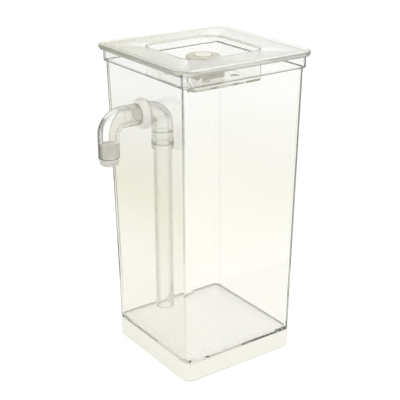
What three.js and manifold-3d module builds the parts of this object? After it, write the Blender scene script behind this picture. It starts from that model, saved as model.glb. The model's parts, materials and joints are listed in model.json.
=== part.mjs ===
// Small square fish tank that is cleaned by pouring water in: a clear tank on a white plinth, a lid
// with a well and a lamp, and a siphon that runs from the floor through the wall to a stoppered spout.
// Millimetres, +Z up, origin on the surface below the middle of the plinth. The spout points to -X.

import * as THREE from 'three';
import { mergeVertices } from 'three/addons/utils/BufferGeometryUtils.js';
import Module from 'manifold-3d';

const wasm = await Module();
wasm.setup();

// Fits and cuts
const FIT_GAP = 0.3; // between pieces that fit into or past each other
const SEAL_GAP = 0.15; // beside a ring seal
const CUT_OVERRUN = 1; // how far a cutter runs past the face that it cuts

// Plinth
const PLINTH_HEIGHT = 14.8;
const PLINTH_FOOT_SIDE = 100.6;
const PLINTH_FOOT_CORNER = 7;
const PLINTH_WALL = 2.2;
const PLINTH_DECK = 2;
const PLINTH_EDGE = 1.4;
const LAND_SIDE = 80; // raised land that locates the tank
const LAND_CORNER = 5;
const LAND_HEIGHT = 1;
const RIB_THICKNESS = 2;
const HUB_DIAMETER = 16; // where the ribs cross, flat on the surface

// Tank
const TANK_BOTTOM_SIDE = 98.6;
const TANK_TOP_SIDE = 105;
const TANK_BOTTOM_CORNER = 4.5;
const TANK_TOP_CORNER = 4;
const TANK_WALL_HEIGHT = 212.2; // from the underside to the rim band
const TANK_WALL = 2.2;
const TANK_FLOOR = 2.6;
const TANK_EDGE = 0.8; // rounding round the underside
const TANK_FILLET = 3; // where the walls meet the floor inside
const RIM_SIDE = 108;
const RIM_CORNER = 4;
const RIM_HEIGHT = 10.6;
const RIM_EDGE = 1.4;

// Lid and its well
const LID_SIDE = 117;
const LID_CORNER = 11.5;
const LID_PLATE = 2.4;
const LID_EDGE = 1.2;
const LIP_DROP = 2.1; // how far the lip reaches down past the rim's top
const LIP_FOOT = 1.2; // width of the lip's flat underside
const LIP_TURN_WIDTH_SHARE = 0.7; // where the lip's outside turns up, from its foot to the edge
const LIP_TURN_HEIGHT_SHARE = 0.4;
const WELL_SIDE = 66;
const WELL_CORNER = 14;
const WELL_FOOT_SIDE = 61;
const WELL_FOOT_CORNER = 3.5;
const WELL_DEPTH = 23.4; // lid's top to the well's underside
const WELL_WALL = 1.6;
const WELL_FLOOR = 1.6;
const WELL_EDGE = 2;
const WELL_FILLET = 1.2; // where the well's walls meet its floor
const WELL_MOUTH_EDGE = 0.8;
const DRAIN_HOLE_DIAMETER = 8;
const DRAIN_HOLE_SHARES = [[0.7, -0.36], [-0.62, 0.74]]; // of half the well floor's side

// Siphon
const SIPHON_DROP = 38.8; // rim's top down to the axis of the hole in the wall
const ELBOW_DIAMETER = 15.6;
const ELBOW_BORE = 10.4;
const BEND_RADIUS = 11.5;
const SPIGOT_DIAMETER = 12.6;
const SPIGOT_REACH = 8; // how far the spigot enters the spout
const SPOUT_REACH = 29.4; // wall's outer face to the outlet's axis
const OUTLET_DROP = 27.5; // siphon axis to the outlet's end
const INTAKE_INSET = 14.7; // wall's inner face to the down tube's axis
const SOCKET_DROP = 28.7; // siphon axis to the socket's mouth
const SOCKET_DEPTH = 13.2;
const BEAD_DIAMETER = 16.4;
const BEAD_LENGTH = 4;
const BEAD_OFFSET = 1.8; // socket's mouth to the bead
const INTAKE_DIAMETER = 13.5;
const INTAKE_WALL = 1.3;
const INTAKE_CHAMFER = 0.5;
const INTAKE_END_HEIGHT = 41.5;
const SEAL_SECTION = 0.6;
const GROMMET_NECK_DIAMETER = 16.2;
const GROMMET_FRONT_DIAMETER = 20.6;
const GROMMET_FLANGE_DIAMETER = 22.6;
const GROMMET_FLANGE = 3.6;
const GROMMET_EDGE = 0.7;
const GROMMET_INNER_DIAMETER = 19;
const GROMMET_INNER_FLANGE = 1;

// Stopper
const STOPPER_SHANK_DIAMETER = 9.9;
const STOPPER_SHANK_LENGTH = 11.5;
const STOPPER_LEAD = 0.6;
const STOPPER_HEAD_DIAMETER = 14.1;
const STOPPER_HEAD_LENGTH = 5.4;
const STOPPER_ROUNDING = 2.6;
const STOPPER_BORE = 6;
const STOPPER_BORE_DEPTH = 9;
const STOPPER_GROOVE = 0.5;
const STOPPER_GROOVE_OFFSET = 1.8;

// Lamp, heights from the well's floor
const LAMP_DIAMETER = 25.5;
const LAMP_HEIGHT = 15.4;
const LAMP_WALL = 1.5;
const LAMP_TOP = 1.8;
const LAMP_EDGE = 0.8;
const LAMP_BASE = 1.2;
const LENS_SPIGOT_DIAMETER = 6;
const LENS_SPIGOT_BORE = 4.2;
const LENS_SPIGOT_REACH = 2.2; // past the floor's underside
const LENS_GASKET = 0.6; // between the floor's underside and the lens
const LENS_DIAMETER = 8;
const LENS_END = 1.6; // thickness below the spigot's bore
const LENS_DOME = 1.2;
const BUTTON_MARGIN = 6.25; // lamp's side to the button's
const BUTTON_PROUD = 0.8;
const BUTTON_TRAVEL = 1;
const BUTTON_EDGE = 0.5;
const BUTTON_WALL = 1.2;
const BUTTON_LIP = 0.7; // flange that holds the button in
const BUTTON_LIP_HEIGHT = 1;
const BUTTON_STEM_DIAMETER = 2.8;
const BUTTON_STEM_ENTRY = 0.7; // how far the stem stands in the switch at rest
const BOARD_LEVEL = 5.3;
const BOARD_THICKNESS = 1;
const SWITCH_SIDE = 6;
const SWITCH_HEIGHT = 2.6;
const RESISTOR_SIZE = [3.2, 1.6, 0.6];
const RESISTOR_OFFSET = 6.2;
const LED_DIAMETER = 3;
const LED_LENGTH = 5.3;
const LED_FLANGE_DIAMETER = 3.8;
const LED_FLANGE = 1;
const LED_LEG = 0.5;
const LED_LEG_SPACING = 2.54;
const SCREW_INSET = 3.55; // lamp's side to the screws' axes
const SCREW_ANGLE_DEG = 38;
const SCREW_BOSS_DIAMETER = 3.4;
const SCREW_DIAMETER = 1.6;
const SCREW_HEAD_DIAMETER = 3.2;
const SCREW_HEAD = 0.5;
const SCREW_BITE = 3; // how far the screw enters the housing's boss
const BOSS_END_GAP = 0.3;

// Battery drawer in the lamp
const DRAWER_SIDE_INSET = 1.75; // lamp's side to the drawer's, at its widest
const DRAWER_HEIGHT = 4.4;
const DRAWER_BACK = 2.2; // lamp's axis to the drawer's back
const DRAWER_BACK_WALL = 0.4; // beside the pockets
const DRAWER_FRONT_WALL = 0.6;
const DRAWER_FLOOR = 0.6;
const CELL_DIAMETER = 6.8;
const CELL_HEIGHT = 2.6;
const CELL_SPACING = 9.2;
const CELL_GAP = 0.2;
const CONTACT_NOTCH_WIDTH = 2.4; // in the drawer's back wall, for the contacts to pass
const BRIDGE_SIZE = [12, 3, 0.2];
const CONTACT_SIZE = [1.6, 4, 0.25];
const CONTACT_OVERHANG = 0.8; // leaf's end past the dimple's axis
const CONTACT_DIMPLE_DIAMETER = 1.4;
const CONTACT_LIFT = 0.1; // gap over the cells

// Facets
const CORNER_STEPS = 3; // pairs of steps in each rounded corner
const ROUND_STEPS = 24;
const FINE_ROUND_STEPS = 16;
const EDGE_STEPS = 3;
const BEND_STEPS = 8;
const SEAL_STEPS = 6;

const QUARTER_TURN = Math.PI / 2;

// Heights and places that follow from the sizes
const rimBottom = PLINTH_HEIGHT + TANK_WALL_HEIGHT;
const rimTop = rimBottom + RIM_HEIGHT;
const lidTop = rimTop + LID_PLATE;
const wellUnderside = lidTop - WELL_DEPTH;
const wellFloor = wellUnderside + WELL_FLOOR;
const wellFloorHalf = WELL_FOOT_SIDE / 2 - WELL_WALL;
const siphonHeight = rimTop - SIPHON_DROP;
const wallHeightShare = (siphonHeight - PLINTH_HEIGHT) / TANK_WALL_HEIGHT;
const wallFace = THREE.MathUtils.lerp(TANK_BOTTOM_SIDE, TANK_TOP_SIDE, wallHeightShare) / 2;
const grommetBackFace = TANK_WALL + FIT_GAP + GROMMET_INNER_FLANGE;
const grommetFrontFace = FIT_GAP + GROMMET_FLANGE;
const socketMouth = siphonHeight - SOCKET_DROP;
const intakeLength = socketMouth + SOCKET_DEPTH - FIT_GAP - INTAKE_END_HEIGHT;
const sealGrooveRadius = (diameter) => diameter / 2 + SEAL_SECTION + 2 * SEAL_GAP;
const boardTop = BOARD_LEVEL + BOARD_THICKNESS;
const lampRadius = LAMP_DIAMETER / 2;
const lampBoreRadius = lampRadius - LAMP_WALL;
const buttonRadius = lampRadius - BUTTON_MARGIN;
const pocketRadius = CELL_DIAMETER / 2 + CELL_GAP;
const cellOffset = DRAWER_BACK + DRAWER_BACK_WALL + pocketRadius; // lamp's axis to the line of the cells
const drawerFront = cellOffset + pocketRadius + DRAWER_FRONT_WALL;
const drawerTop = FIT_GAP + DRAWER_HEIGHT;
const cellBottom = FIT_GAP + DRAWER_FLOOR + BRIDGE_SIZE[2];
const cellTop = cellBottom + CELL_HEIGHT;
const spigotBottom = -WELL_FLOOR - LENS_SPIGOT_REACH;
const switchTop = boardTop + SWITCH_HEIGHT;
const stemEnd = switchTop - BUTTON_STEM_ENTRY;

// Solids are joined and cut as closed meshes.
function toSolid(geometry) {
  const bare = geometry.clone();
  bare.deleteAttribute('normal');
  bare.deleteAttribute('uv');
  const merged = mergeVertices(bare);
  return new wasm.Manifold(new wasm.Mesh({
    numProp: 3,
    vertProperties: merged.attributes.position.array,
    triVerts: new Uint32Array(merged.index.array),
  }));
}

function toGeometry(solid) {
  const mesh = solid.getMesh();
  const geometry = new THREE.BufferGeometry();
  geometry.setAttribute('position', new THREE.BufferAttribute(new Float32Array(mesh.vertProperties), 3));
  geometry.setIndex([...mesh.triVerts]);
  geometry.computeVertexNormals();
  return geometry;
}

const join = (first, ...others) =>
  toGeometry(others.reduce((solid, other) => solid.add(toSolid(other)), toSolid(first)));

const cut = (first, ...cutters) =>
  toGeometry(cutters.reduce((solid, cutter) => solid.subtract(toSolid(cutter)), toSolid(first)));

// One level of a square shell: a square outline with round corners at a height.
function squareRing(side, corner, height) {
  const reach = side / 2 - corner;
  const outline = new THREE.Path();
  const centres = [[reach, reach], [-reach, reach], [-reach, -reach], [reach, -reach]];
  centres.forEach(([x, y], turn) => {
    outline.absarc(x, y, corner, turn * QUARTER_TURN, (turn + 1) * QUARTER_TURN);
  });
  return outline.getPoints(CORNER_STEPS).map((point) => new THREE.Vector3(point.x, point.y, height));
}

// Closed surface through a stack of rings, with a flat cap on the first and the last.
function shell(rings) {
  const count = rings[0].length;
  const points = rings.flat();
  const faces = [];
  for (let level = 0; level < rings.length - 1; level++) {
    for (let k = 0; k < count; k++) {
      const here = level * count + k;
      const next = level * count + ((k + 1) % count);
      faces.push(here, next, next + count, here, next + count, here + count);
    }
  }
  const capped = [[rings[0], 0, true], [rings.at(-1), points.length - count, false]];
  const middles = capped.map(([ring]) => new THREE.Vector3(0, 0, ring[0].z));
  capped.forEach(([, start, facesDown], cap) => {
    const middle = points.length + cap;
    for (let k = 0; k < count; k++) {
      const here = start + k;
      const next = start + ((k + 1) % count);
      faces.push(middle, facesDown ? next : here, facesDown ? here : next);
    }
  });
  const geometry = new THREE.BufferGeometry().setFromPoints([...points, ...middles]);
  geometry.setIndex(faces);
  geometry.computeVertexNormals();
  return geometry;
}

// Where a quarter round starts and which way it climbs, for roundedRings.
const footRound = { fromFlat: true, up: true }; // out from an underside and up the outside
const topRound = { fromFlat: false, up: false }; // in from the outside over the top
const fillet = { fromFlat: false, up: true }; // down an inside and in over the floor

// Rings of a quarter round: the side changes by its radius on each side, and so does the height.
function roundedRings(side, corner, height, radius, { fromFlat, up }) {
  return Array.from({ length: EDGE_STEPS + 1 }, (_, step) => {
    const angle = (fromFlat ? step : EDGE_STEPS - step) / EDGE_STEPS * QUARTER_TURN;
    const inset = radius * (1 - Math.sin(angle));
    const rise = radius * (1 - Math.cos(angle));
    return squareRing(side - 2 * inset, corner - inset, height + (up ? rise : -rise));
  });
}

// Rings of a rounding over the mouth of a hollow, from the flat top down into it.
function mouthRings(side, corner, top, radius) {
  return Array.from({ length: EDGE_STEPS + 1 }, (_, step) => {
    const angle = step / EDGE_STEPS * QUARTER_TURN;
    const flare = radius * (1 - Math.sin(angle));
    return squareRing(side + 2 * flare, corner + flare, top - radius * (1 - Math.cos(angle)));
  });
}

// Body of revolution about +Z from a profile of radius and height pairs.
function turned(profile, steps = ROUND_STEPS) {
  const points = profile.map(([radius, height]) => new THREE.Vector2(radius, height));
  return new THREE.LatheGeometry(points, steps).rotateX(QUARTER_TURN);
}

function rod(radius, bottom, top, steps = ROUND_STEPS) {
  return turned([[0, bottom], [radius, bottom], [radius, top], [0, top]], steps);
}

// Quarter round in such a profile, from the end face at a height to the side at a radius.
function quarterRound(radius, height, width, rise) {
  return Array.from({ length: EDGE_STEPS + 1 }, (_, step) => {
    const angle = step / EDGE_STEPS * QUARTER_TURN;
    return [radius - width * (1 - Math.sin(angle)), height + rise * (1 - Math.cos(angle))];
  });
}

function block(width, depth, height) {
  return new THREE.BoxGeometry(width, depth, height);
}

// Turns a body of revolution so that its axis runs outwards, along -X.
const facingOut = (geometry) => geometry.rotateY(-QUARTER_TURN);

// Ring seal round an axis, with a round section.
function sealRing(innerRadius) {
  return new THREE.TorusGeometry(innerRadius + SEAL_SECTION / 2, SEAL_SECTION / 2, SEAL_STEPS, ROUND_STEPS);
}

// Level run along X, a quarter bend, and a run straight down. A sweep along it has a section at
// each end of the path and evenly spaced ones round the bend.
class ElbowPath extends THREE.Curve {
  constructor(start, direction, run, drop) {
    super();
    Object.assign(this, { start, direction, run, drop });
  }

  bendAngle(share) {
    return THREE.MathUtils.clamp((share * (BEND_STEPS + 2) - 1) / BEND_STEPS, 0, 1) * QUARTER_TURN;
  }

  getPointAt(share) {
    const section = share * (BEND_STEPS + 2);
    const angle = this.bendAngle(share);
    const level = this.run * Math.min(section, 1) + BEND_RADIUS * Math.sin(angle);
    const down = BEND_RADIUS * (1 - Math.cos(angle)) + this.drop * Math.max(section - BEND_STEPS - 1, 0);
    return new THREE.Vector3(this.start.x + this.direction * level, 0, this.start.z - down);
  }

  getTangentAt(share) {
    const angle = this.bendAngle(share);
    return new THREE.Vector3(this.direction * Math.cos(angle), 0, -Math.sin(angle));
  }
}

function sweep(radius, path) {
  const section = new THREE.Shape().absarc(0, 0, radius, 0, 4 * QUARTER_TURN);
  return new THREE.ExtrudeGeometry(section, {
    steps: BEND_STEPS + 2,
    curveSegments: ROUND_STEPS / 2,
    bevelEnabled: false,
    extrudePath: path,
  });
}

// Materials
const clearPlastic = { color: '#e9ecdf', roughness: 0.06, metalness: 0 };
const finishes = {
  white: { color: '#eeeee2', roughness: 0.42, metalness: 0 },
  clear: clearPlastic,
  lid: { color: '#eaebdc', roughness: 0.3, metalness: 0 },
  silicone: { color: '#c9c7bf', roughness: 0.5, metalness: 0 },
  lampGrey: { color: '#c4bfa9', roughness: 0.4, metalness: 0 },
  buttonIvory: { color: '#e6e4cc', roughness: 0.3, metalness: 0 },
  drawerBrown: { color: '#4d4530', roughness: 0.5, metalness: 0 },
  rubber: { color: '#3b3b38', roughness: 0.8, metalness: 0 },
  board: { color: '#2f6b43', roughness: 0.5, metalness: 0 },
  black: { color: '#222222', roughness: 0.5, metalness: 0 },
  steel: { color: '#c8c9ca', roughness: 0.3, metalness: 1 },
};

const transparent = { transparent: true, opacity: 0.35 };

function piece(name, geometry, finish, extra = {}) {
  const mesh = new THREE.Mesh(geometry, new THREE.MeshStandardMaterial({ ...finishes[finish], ...extra }));
  mesh.name = name;
  return mesh;
}

// Plinth: an open-bottomed cap with crossed ribs and a land on its deck.
function plinthGeometry() {
  const innerFoot = PLINTH_FOOT_SIDE - 2 * PLINTH_WALL;
  const innerTop = TANK_BOTTOM_SIDE - 2 * PLINTH_WALL;
  const ceiling = PLINTH_HEIGHT - PLINTH_DECK;
  const cap = shell([
    squareRing(innerTop, TANK_BOTTOM_CORNER, ceiling),
    squareRing(innerFoot, PLINTH_FOOT_CORNER - PLINTH_WALL, 0),
    ...roundedRings(PLINTH_FOOT_SIDE, PLINTH_FOOT_CORNER, 0, PLINTH_EDGE, footRound),
    ...roundedRings(TANK_BOTTOM_SIDE, TANK_BOTTOM_CORNER, PLINTH_HEIGHT, TANK_EDGE, topRound),
    squareRing(LAND_SIDE, LAND_CORNER, PLINTH_HEIGHT),
    squareRing(LAND_SIDE, LAND_CORNER, PLINTH_HEIGHT + LAND_HEIGHT - FIT_GAP),
  ]);
  const ribHeight = PLINTH_HEIGHT - PLINTH_DECK / 2;
  const ribLength = innerTop + PLINTH_WALL;
  const alongX = block(ribLength, RIB_THICKNESS, ribHeight).translate(0, 0, ribHeight / 2);
  const alongY = block(RIB_THICKNESS, ribLength, ribHeight).translate(0, 0, ribHeight / 2);
  return join(cap, alongX, alongY, rod(HUB_DIAMETER / 2, 0, ribHeight));
}

// Tank: one clear moulding, tapered to the bottom, with a wider band round the top.
function tankGeometry() {
  const innerBottom = TANK_BOTTOM_SIDE - 2 * TANK_WALL;
  const innerTop = TANK_TOP_SIDE - 2 * TANK_WALL;
  const innerRim = RIM_SIDE - 2 * TANK_WALL;
  const recess = LAND_SIDE + 2 * FIT_GAP;
  const floorTop = PLINTH_HEIGHT + TANK_FLOOR;
  const ledge = rimBottom + TANK_WALL;
  const body = shell([
    squareRing(recess, LAND_CORNER + FIT_GAP, PLINTH_HEIGHT + LAND_HEIGHT),
    squareRing(recess, LAND_CORNER + FIT_GAP, PLINTH_HEIGHT),
    ...roundedRings(TANK_BOTTOM_SIDE, TANK_BOTTOM_CORNER, PLINTH_HEIGHT, TANK_EDGE, footRound),
    squareRing(TANK_TOP_SIDE, TANK_TOP_CORNER, rimBottom),
    ...roundedRings(RIM_SIDE, RIM_CORNER, rimBottom, RIM_EDGE, footRound),
    squareRing(RIM_SIDE, RIM_CORNER, rimTop),
    squareRing(innerRim, RIM_CORNER - TANK_WALL, rimTop),
    squareRing(innerRim, RIM_CORNER - TANK_WALL, ledge),
    squareRing(innerTop, TANK_TOP_CORNER - TANK_WALL, ledge),
    ...roundedRings(innerBottom, TANK_FILLET + TANK_EDGE, floorTop, TANK_FILLET, fillet),
  ]);
  const holeRadius = GROMMET_NECK_DIAMETER / 2 + FIT_GAP;
  const hole = facingOut(rod(holeRadius, wallFace - TANK_WALL - CUT_OVERRUN, wallFace + CUT_OVERRUN));
  return cut(body, hole.translate(0, 0, siphonHeight));
}

// Lid: a plate with a rolled edge and a lip over the rim, and a well that hangs into the tank.
function lidGeometry() {
  const lipInner = RIM_SIDE + 2 * FIT_GAP;
  const lipBottom = rimTop - LIP_DROP;
  const lipFoot = lipInner + 2 * LIP_FOOT;
  const lipFootCorner = RIM_CORNER + FIT_GAP + LIP_FOOT;
  const edgeBottom = lidTop - 2 * LID_EDGE;
  const wellTop = WELL_SIDE + 2 * WELL_WALL;
  const wellInnerFoot = WELL_FOOT_SIDE - 2 * WELL_WALL;
  const plate = shell([
    ...roundedRings(WELL_FOOT_SIDE, WELL_FOOT_CORNER, wellUnderside, WELL_EDGE, footRound),
    squareRing(wellTop, WELL_CORNER + WELL_WALL, rimTop),
    squareRing(lipInner, RIM_CORNER + FIT_GAP, rimTop),
    squareRing(lipInner, RIM_CORNER + FIT_GAP, lipBottom),
    squareRing(lipFoot, lipFootCorner, lipBottom),
    squareRing(
      THREE.MathUtils.lerp(lipFoot, LID_SIDE, LIP_TURN_WIDTH_SHARE),
      THREE.MathUtils.lerp(lipFootCorner, LID_CORNER, LIP_TURN_WIDTH_SHARE),
      THREE.MathUtils.lerp(lipBottom, edgeBottom, LIP_TURN_HEIGHT_SHARE),
    ),
    squareRing(LID_SIDE, LID_CORNER, edgeBottom),
    ...roundedRings(LID_SIDE, LID_CORNER, lidTop, LID_EDGE, topRound),
    ...mouthRings(WELL_SIDE, WELL_CORNER, lidTop, WELL_MOUTH_EDGE),
    ...roundedRings(wellInnerFoot, WELL_FOOT_CORNER - WELL_WALL, wellFloor, WELL_FILLET,
      fillet),
  ]);
  const cutBottom = wellUnderside - CUT_OVERRUN;
  const cutTop = wellFloor + CUT_OVERRUN;
  const holes = DRAIN_HOLE_SHARES.map(([across, along]) =>
    rod(DRAIN_HOLE_DIAMETER / 2, cutBottom, cutTop)
      .translate(across * wellFloorHalf, along * wellFloorHalf, 0));
  const lensHole = rod(LENS_SPIGOT_DIAMETER / 2 + FIT_GAP, cutBottom, cutTop, FINE_ROUND_STEPS);
  return cut(plate, lensHole, ...holes);
}

// Grommet: a soft seal with a tapered flange outside the wall and a thin one inside.
// Its profile runs outwards from the wall's outer face.
function grommetGeometry() {
  const bore = SPIGOT_DIAMETER / 2 + SEAL_GAP;
  const neck = GROMMET_NECK_DIAMETER / 2;
  const back = -TANK_WALL - FIT_GAP;
  const flange = GROMMET_FLANGE_DIAMETER / 2;
  const front = GROMMET_FRONT_DIAMETER / 2;
  return facingOut(turned([
    [bore, -grommetBackFace],
    [GROMMET_INNER_DIAMETER / 2, -grommetBackFace],
    [GROMMET_INNER_DIAMETER / 2, back],
    [neck, back],
    [neck, FIT_GAP],
    [flange, FIT_GAP],
    [flange, FIT_GAP + GROMMET_EDGE],
    [front, grommetFrontFace - GROMMET_EDGE],
    [front - GROMMET_EDGE, grommetFrontFace],
    [bore, grommetFrontFace],
    [bore, -grommetBackFace],
  ]));
}

// Inner elbow, from the wall's outer face: a spigot out through the grommet, a bend, and a
// socket with a bead round its mouth for the down tube.
function innerElbowGeometry() {
  const shoulder = grommetBackFace + FIT_GAP;
  const spigotEnd = grommetFrontFace + FIT_GAP + SPIGOT_REACH;
  const axis = TANK_WALL + INTAKE_INSET;
  const run = axis - shoulder - BEND_RADIUS;
  const drop = SOCKET_DROP - BEND_RADIUS;
  const outside = sweep(ELBOW_DIAMETER / 2, new ElbowPath(new THREE.Vector3(shoulder, 0, 0), 1, run, drop));
  const spigot = facingOut(rod(SPIGOT_DIAMETER / 2, -shoulder - CUT_OVERRUN, spigotEnd));
  const beadBottom = BEAD_OFFSET - SOCKET_DROP;
  const bead = rod(BEAD_DIAMETER / 2, beadBottom, beadBottom + BEAD_LENGTH).translate(axis, 0, 0);
  const boreStart = new THREE.Vector3(-spigotEnd - CUT_OVERRUN, 0, 0);
  const boreRun = axis - BEND_RADIUS - boreStart.x;
  const bore = sweep(ELBOW_BORE / 2, new ElbowPath(boreStart, 1, boreRun, drop));
  const socketRadius = INTAKE_DIAMETER / 2 + FIT_GAP;
  const socket = rod(socketRadius, -SOCKET_DROP - CUT_OVERRUN, SOCKET_DEPTH - SOCKET_DROP)
    .translate(axis, 0, 0);
  const sealHalf = SEAL_SECTION / 2 + SEAL_GAP;
  const sealLevel = beadBottom + BEAD_LENGTH / 2;
  const groove = rod(sealGrooveRadius(INTAKE_DIAMETER), sealLevel - sealHalf, sealLevel + sealHalf)
    .translate(axis, 0, 0);
  return cut(join(outside, spigot, bead), bore, socket, groove);
}

// Spout, from the wall's outer face: a socket over the spigot, a bend, and the outlet.
function spoutGeometry() {
  const start = grommetFrontFace + FIT_GAP;
  const run = SPOUT_REACH - start - BEND_RADIUS;
  const drop = OUTLET_DROP - BEND_RADIUS;
  const outside = sweep(ELBOW_DIAMETER / 2, new ElbowPath(new THREE.Vector3(-start, 0, 0), -1, run, drop));
  const bore = sweep(ELBOW_BORE / 2,
    new ElbowPath(new THREE.Vector3(CUT_OVERRUN - start, 0, 0), -1, run + CUT_OVERRUN, drop + CUT_OVERRUN));
  const socketRadius = SPIGOT_DIAMETER / 2 + FIT_GAP;
  const socket = facingOut(rod(socketRadius, start - CUT_OVERRUN, start + SPIGOT_REACH + FIT_GAP));
  const sealHalf = SEAL_SECTION / 2 + SEAL_GAP;
  const sealPlace = start + SPIGOT_REACH / 2;
  const groove = facingOut(
    rod(sealGrooveRadius(SPIGOT_DIAMETER), sealPlace - sealHalf, sealPlace + sealHalf));
  return cut(outside, bore, socket, groove);
}

// Down tube, from its open lower end up.
function intakeGeometry() {
  const outer = INTAKE_DIAMETER / 2;
  const inner = outer - INTAKE_WALL;
  return turned([
    [inner, 0],
    [outer - INTAKE_CHAMFER, 0],
    [outer, INTAKE_CHAMFER],
    [outer, intakeLength],
    [inner, intakeLength],
    [inner, 0],
  ]);
}

// Stopper, from the outlet's end: a head with a grip groove below, a hollow shank above.
function stopperGeometry() {
  const head = STOPPER_HEAD_DIAMETER / 2;
  const shank = STOPPER_SHANK_DIAMETER / 2;
  const headTop = -FIT_GAP;
  const headBottom = headTop - STOPPER_HEAD_LENGTH;
  const groove = headTop - STOPPER_GROOVE_OFFSET;
  return turned([
    [0, headBottom],
    ...quarterRound(head, headBottom, STOPPER_ROUNDING, STOPPER_ROUNDING),
    [head, groove - STOPPER_GROOVE],
    [head - STOPPER_GROOVE, groove],
    [head, groove + STOPPER_GROOVE],
    [head, headTop],
    [shank, headTop],
    [shank, STOPPER_SHANK_LENGTH - STOPPER_LEAD],
    [shank - STOPPER_LEAD, STOPPER_SHANK_LENGTH],
    [STOPPER_BORE / 2, STOPPER_SHANK_LENGTH],
    [STOPPER_BORE / 2, STOPPER_SHANK_LENGTH - STOPPER_BORE_DEPTH],
    [0, STOPPER_SHANK_LENGTH - STOPPER_BORE_DEPTH],
  ]);
}

// Places of the two lamp screws, left and right of the axis.
const screwAngle = THREE.MathUtils.degToRad(SCREW_ANGLE_DEG);
const screwPlaces = [-1, 1].map((side) => ({
  side: side < 0 ? 'left' : 'right',
  x: side * (lampRadius - SCREW_INSET) * Math.cos(screwAngle),
  y: (lampRadius - SCREW_INSET) * Math.sin(screwAngle),
}));
const screwHole = SCREW_DIAMETER / 2 + FIT_GAP;

// Room for the drawer: all of the lamp's near side, up to a height.
function drawerSpace(top) {
  const side = LAMP_DIAMETER + 2 * CUT_OVERRUN;
  return block(side, side, top + CUT_OVERRUN)
    .translate(0, FIT_GAP - DRAWER_BACK - side / 2, (top - CUT_OVERRUN) / 2);
}

// Lamp housing: a cup upside down, with a hole for the button, two screw bosses and its near side
// open at the foot for the drawer.
function housingGeometry() {
  const ceiling = LAMP_HEIGHT - LAMP_TOP;
  const mouth = buttonRadius + FIT_GAP;
  const cup = turned([
    [lampBoreRadius, 0],
    [lampRadius, 0],
    ...quarterRound(lampRadius, LAMP_HEIGHT, LAMP_EDGE, -LAMP_EDGE).reverse(),
    [mouth, LAMP_HEIGHT],
    [mouth, ceiling],
    [lampBoreRadius, ceiling],
    [lampBoreRadius, 0],
  ]);
  const bossBottom = boardTop + BOSS_END_GAP;
  const bosses = screwPlaces.map(({ x, y }) =>
    rod(SCREW_BOSS_DIAMETER / 2, bossBottom, ceiling + LAMP_TOP / 2, FINE_ROUND_STEPS).translate(x, y, 0));
  const pilots = screwPlaces.map(({ x, y }) =>
    rod(screwHole, bossBottom - CUT_OVERRUN, bossBottom + SCREW_BITE + FIT_GAP, FINE_ROUND_STEPS)
      .translate(x, y, 0));
  const window = drawerSpace(drawerTop + FIT_GAP);
  return cut(join(cup, ...bosses), window, ...pilots);
}

// Lamp base: a plate in the housing's mouth behind the drawer, two pillars under the board, and
// the spigot that passes through the well's floor.
function baseGeometry() {
  const inside = LAMP_BASE / 2;
  const spigotRadius = LENS_SPIGOT_DIAMETER / 2;
  const spigot = rod(spigotRadius, spigotBottom, inside, FINE_ROUND_STEPS);
  const spigotTrim = block(2 * spigotRadius, 2 * spigotRadius, 2 * inside)
    .translate(0, FIT_GAP - DRAWER_BACK - spigotRadius, inside);
  const plate = cut(rod(lampBoreRadius - FIT_GAP, 0, LAMP_BASE), drawerSpace(LAMP_BASE));
  const pillars = screwPlaces.map(({ x, y }) =>
    rod(SCREW_BOSS_DIAMETER / 2, inside, BOARD_LEVEL, FINE_ROUND_STEPS).translate(x, y, 0));
  const boreTop = LAMP_BASE + CUT_OVERRUN;
  const bore = rod(LENS_SPIGOT_BORE / 2, spigotBottom - CUT_OVERRUN, boreTop, FINE_ROUND_STEPS);
  const screwCuts = screwPlaces.flatMap(({ x, y }) => [
    rod(screwHole, -CUT_OVERRUN, BOARD_LEVEL + CUT_OVERRUN, FINE_ROUND_STEPS).translate(x, y, 0),
    rod(SCREW_HEAD_DIAMETER / 2 + FIT_GAP, -CUT_OVERRUN, SCREW_HEAD + FIT_GAP, FINE_ROUND_STEPS)
      .translate(x, y, 0),
  ]);
  return cut(join(plate, cut(spigot, spigotTrim), ...pillars), bore, ...screwCuts);
}

// Gasket: a washer on the spigot, pressed against the underside of the well's floor by the lens.
function gasketGeometry() {
  const inner = LENS_SPIGOT_DIAMETER / 2 + FIT_GAP;
  const outer = LENS_DIAMETER / 2;
  const top = -WELL_FLOOR;
  return turned([
    [inner, top - LENS_GASKET],
    [outer, top - LENS_GASKET],
    [outer, top],
    [inner, top],
    [inner, top - LENS_GASKET],
  ], FINE_ROUND_STEPS);
}

// Lens: a clear cap on the spigot's end, below the gasket.
function lensGeometry() {
  const outer = LENS_DIAMETER / 2;
  const bore = LENS_SPIGOT_DIAMETER / 2 + FIT_GAP;
  const top = -WELL_FLOOR - LENS_GASKET;
  const boreEnd = spigotBottom - FIT_GAP;
  return turned([
    ...quarterRound(outer, boreEnd - LENS_END, outer, LENS_DOME),
    [outer, top],
    [bore, top],
    [bore, boreEnd],
    [0, boreEnd],
  ], FINE_ROUND_STEPS);
}

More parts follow.
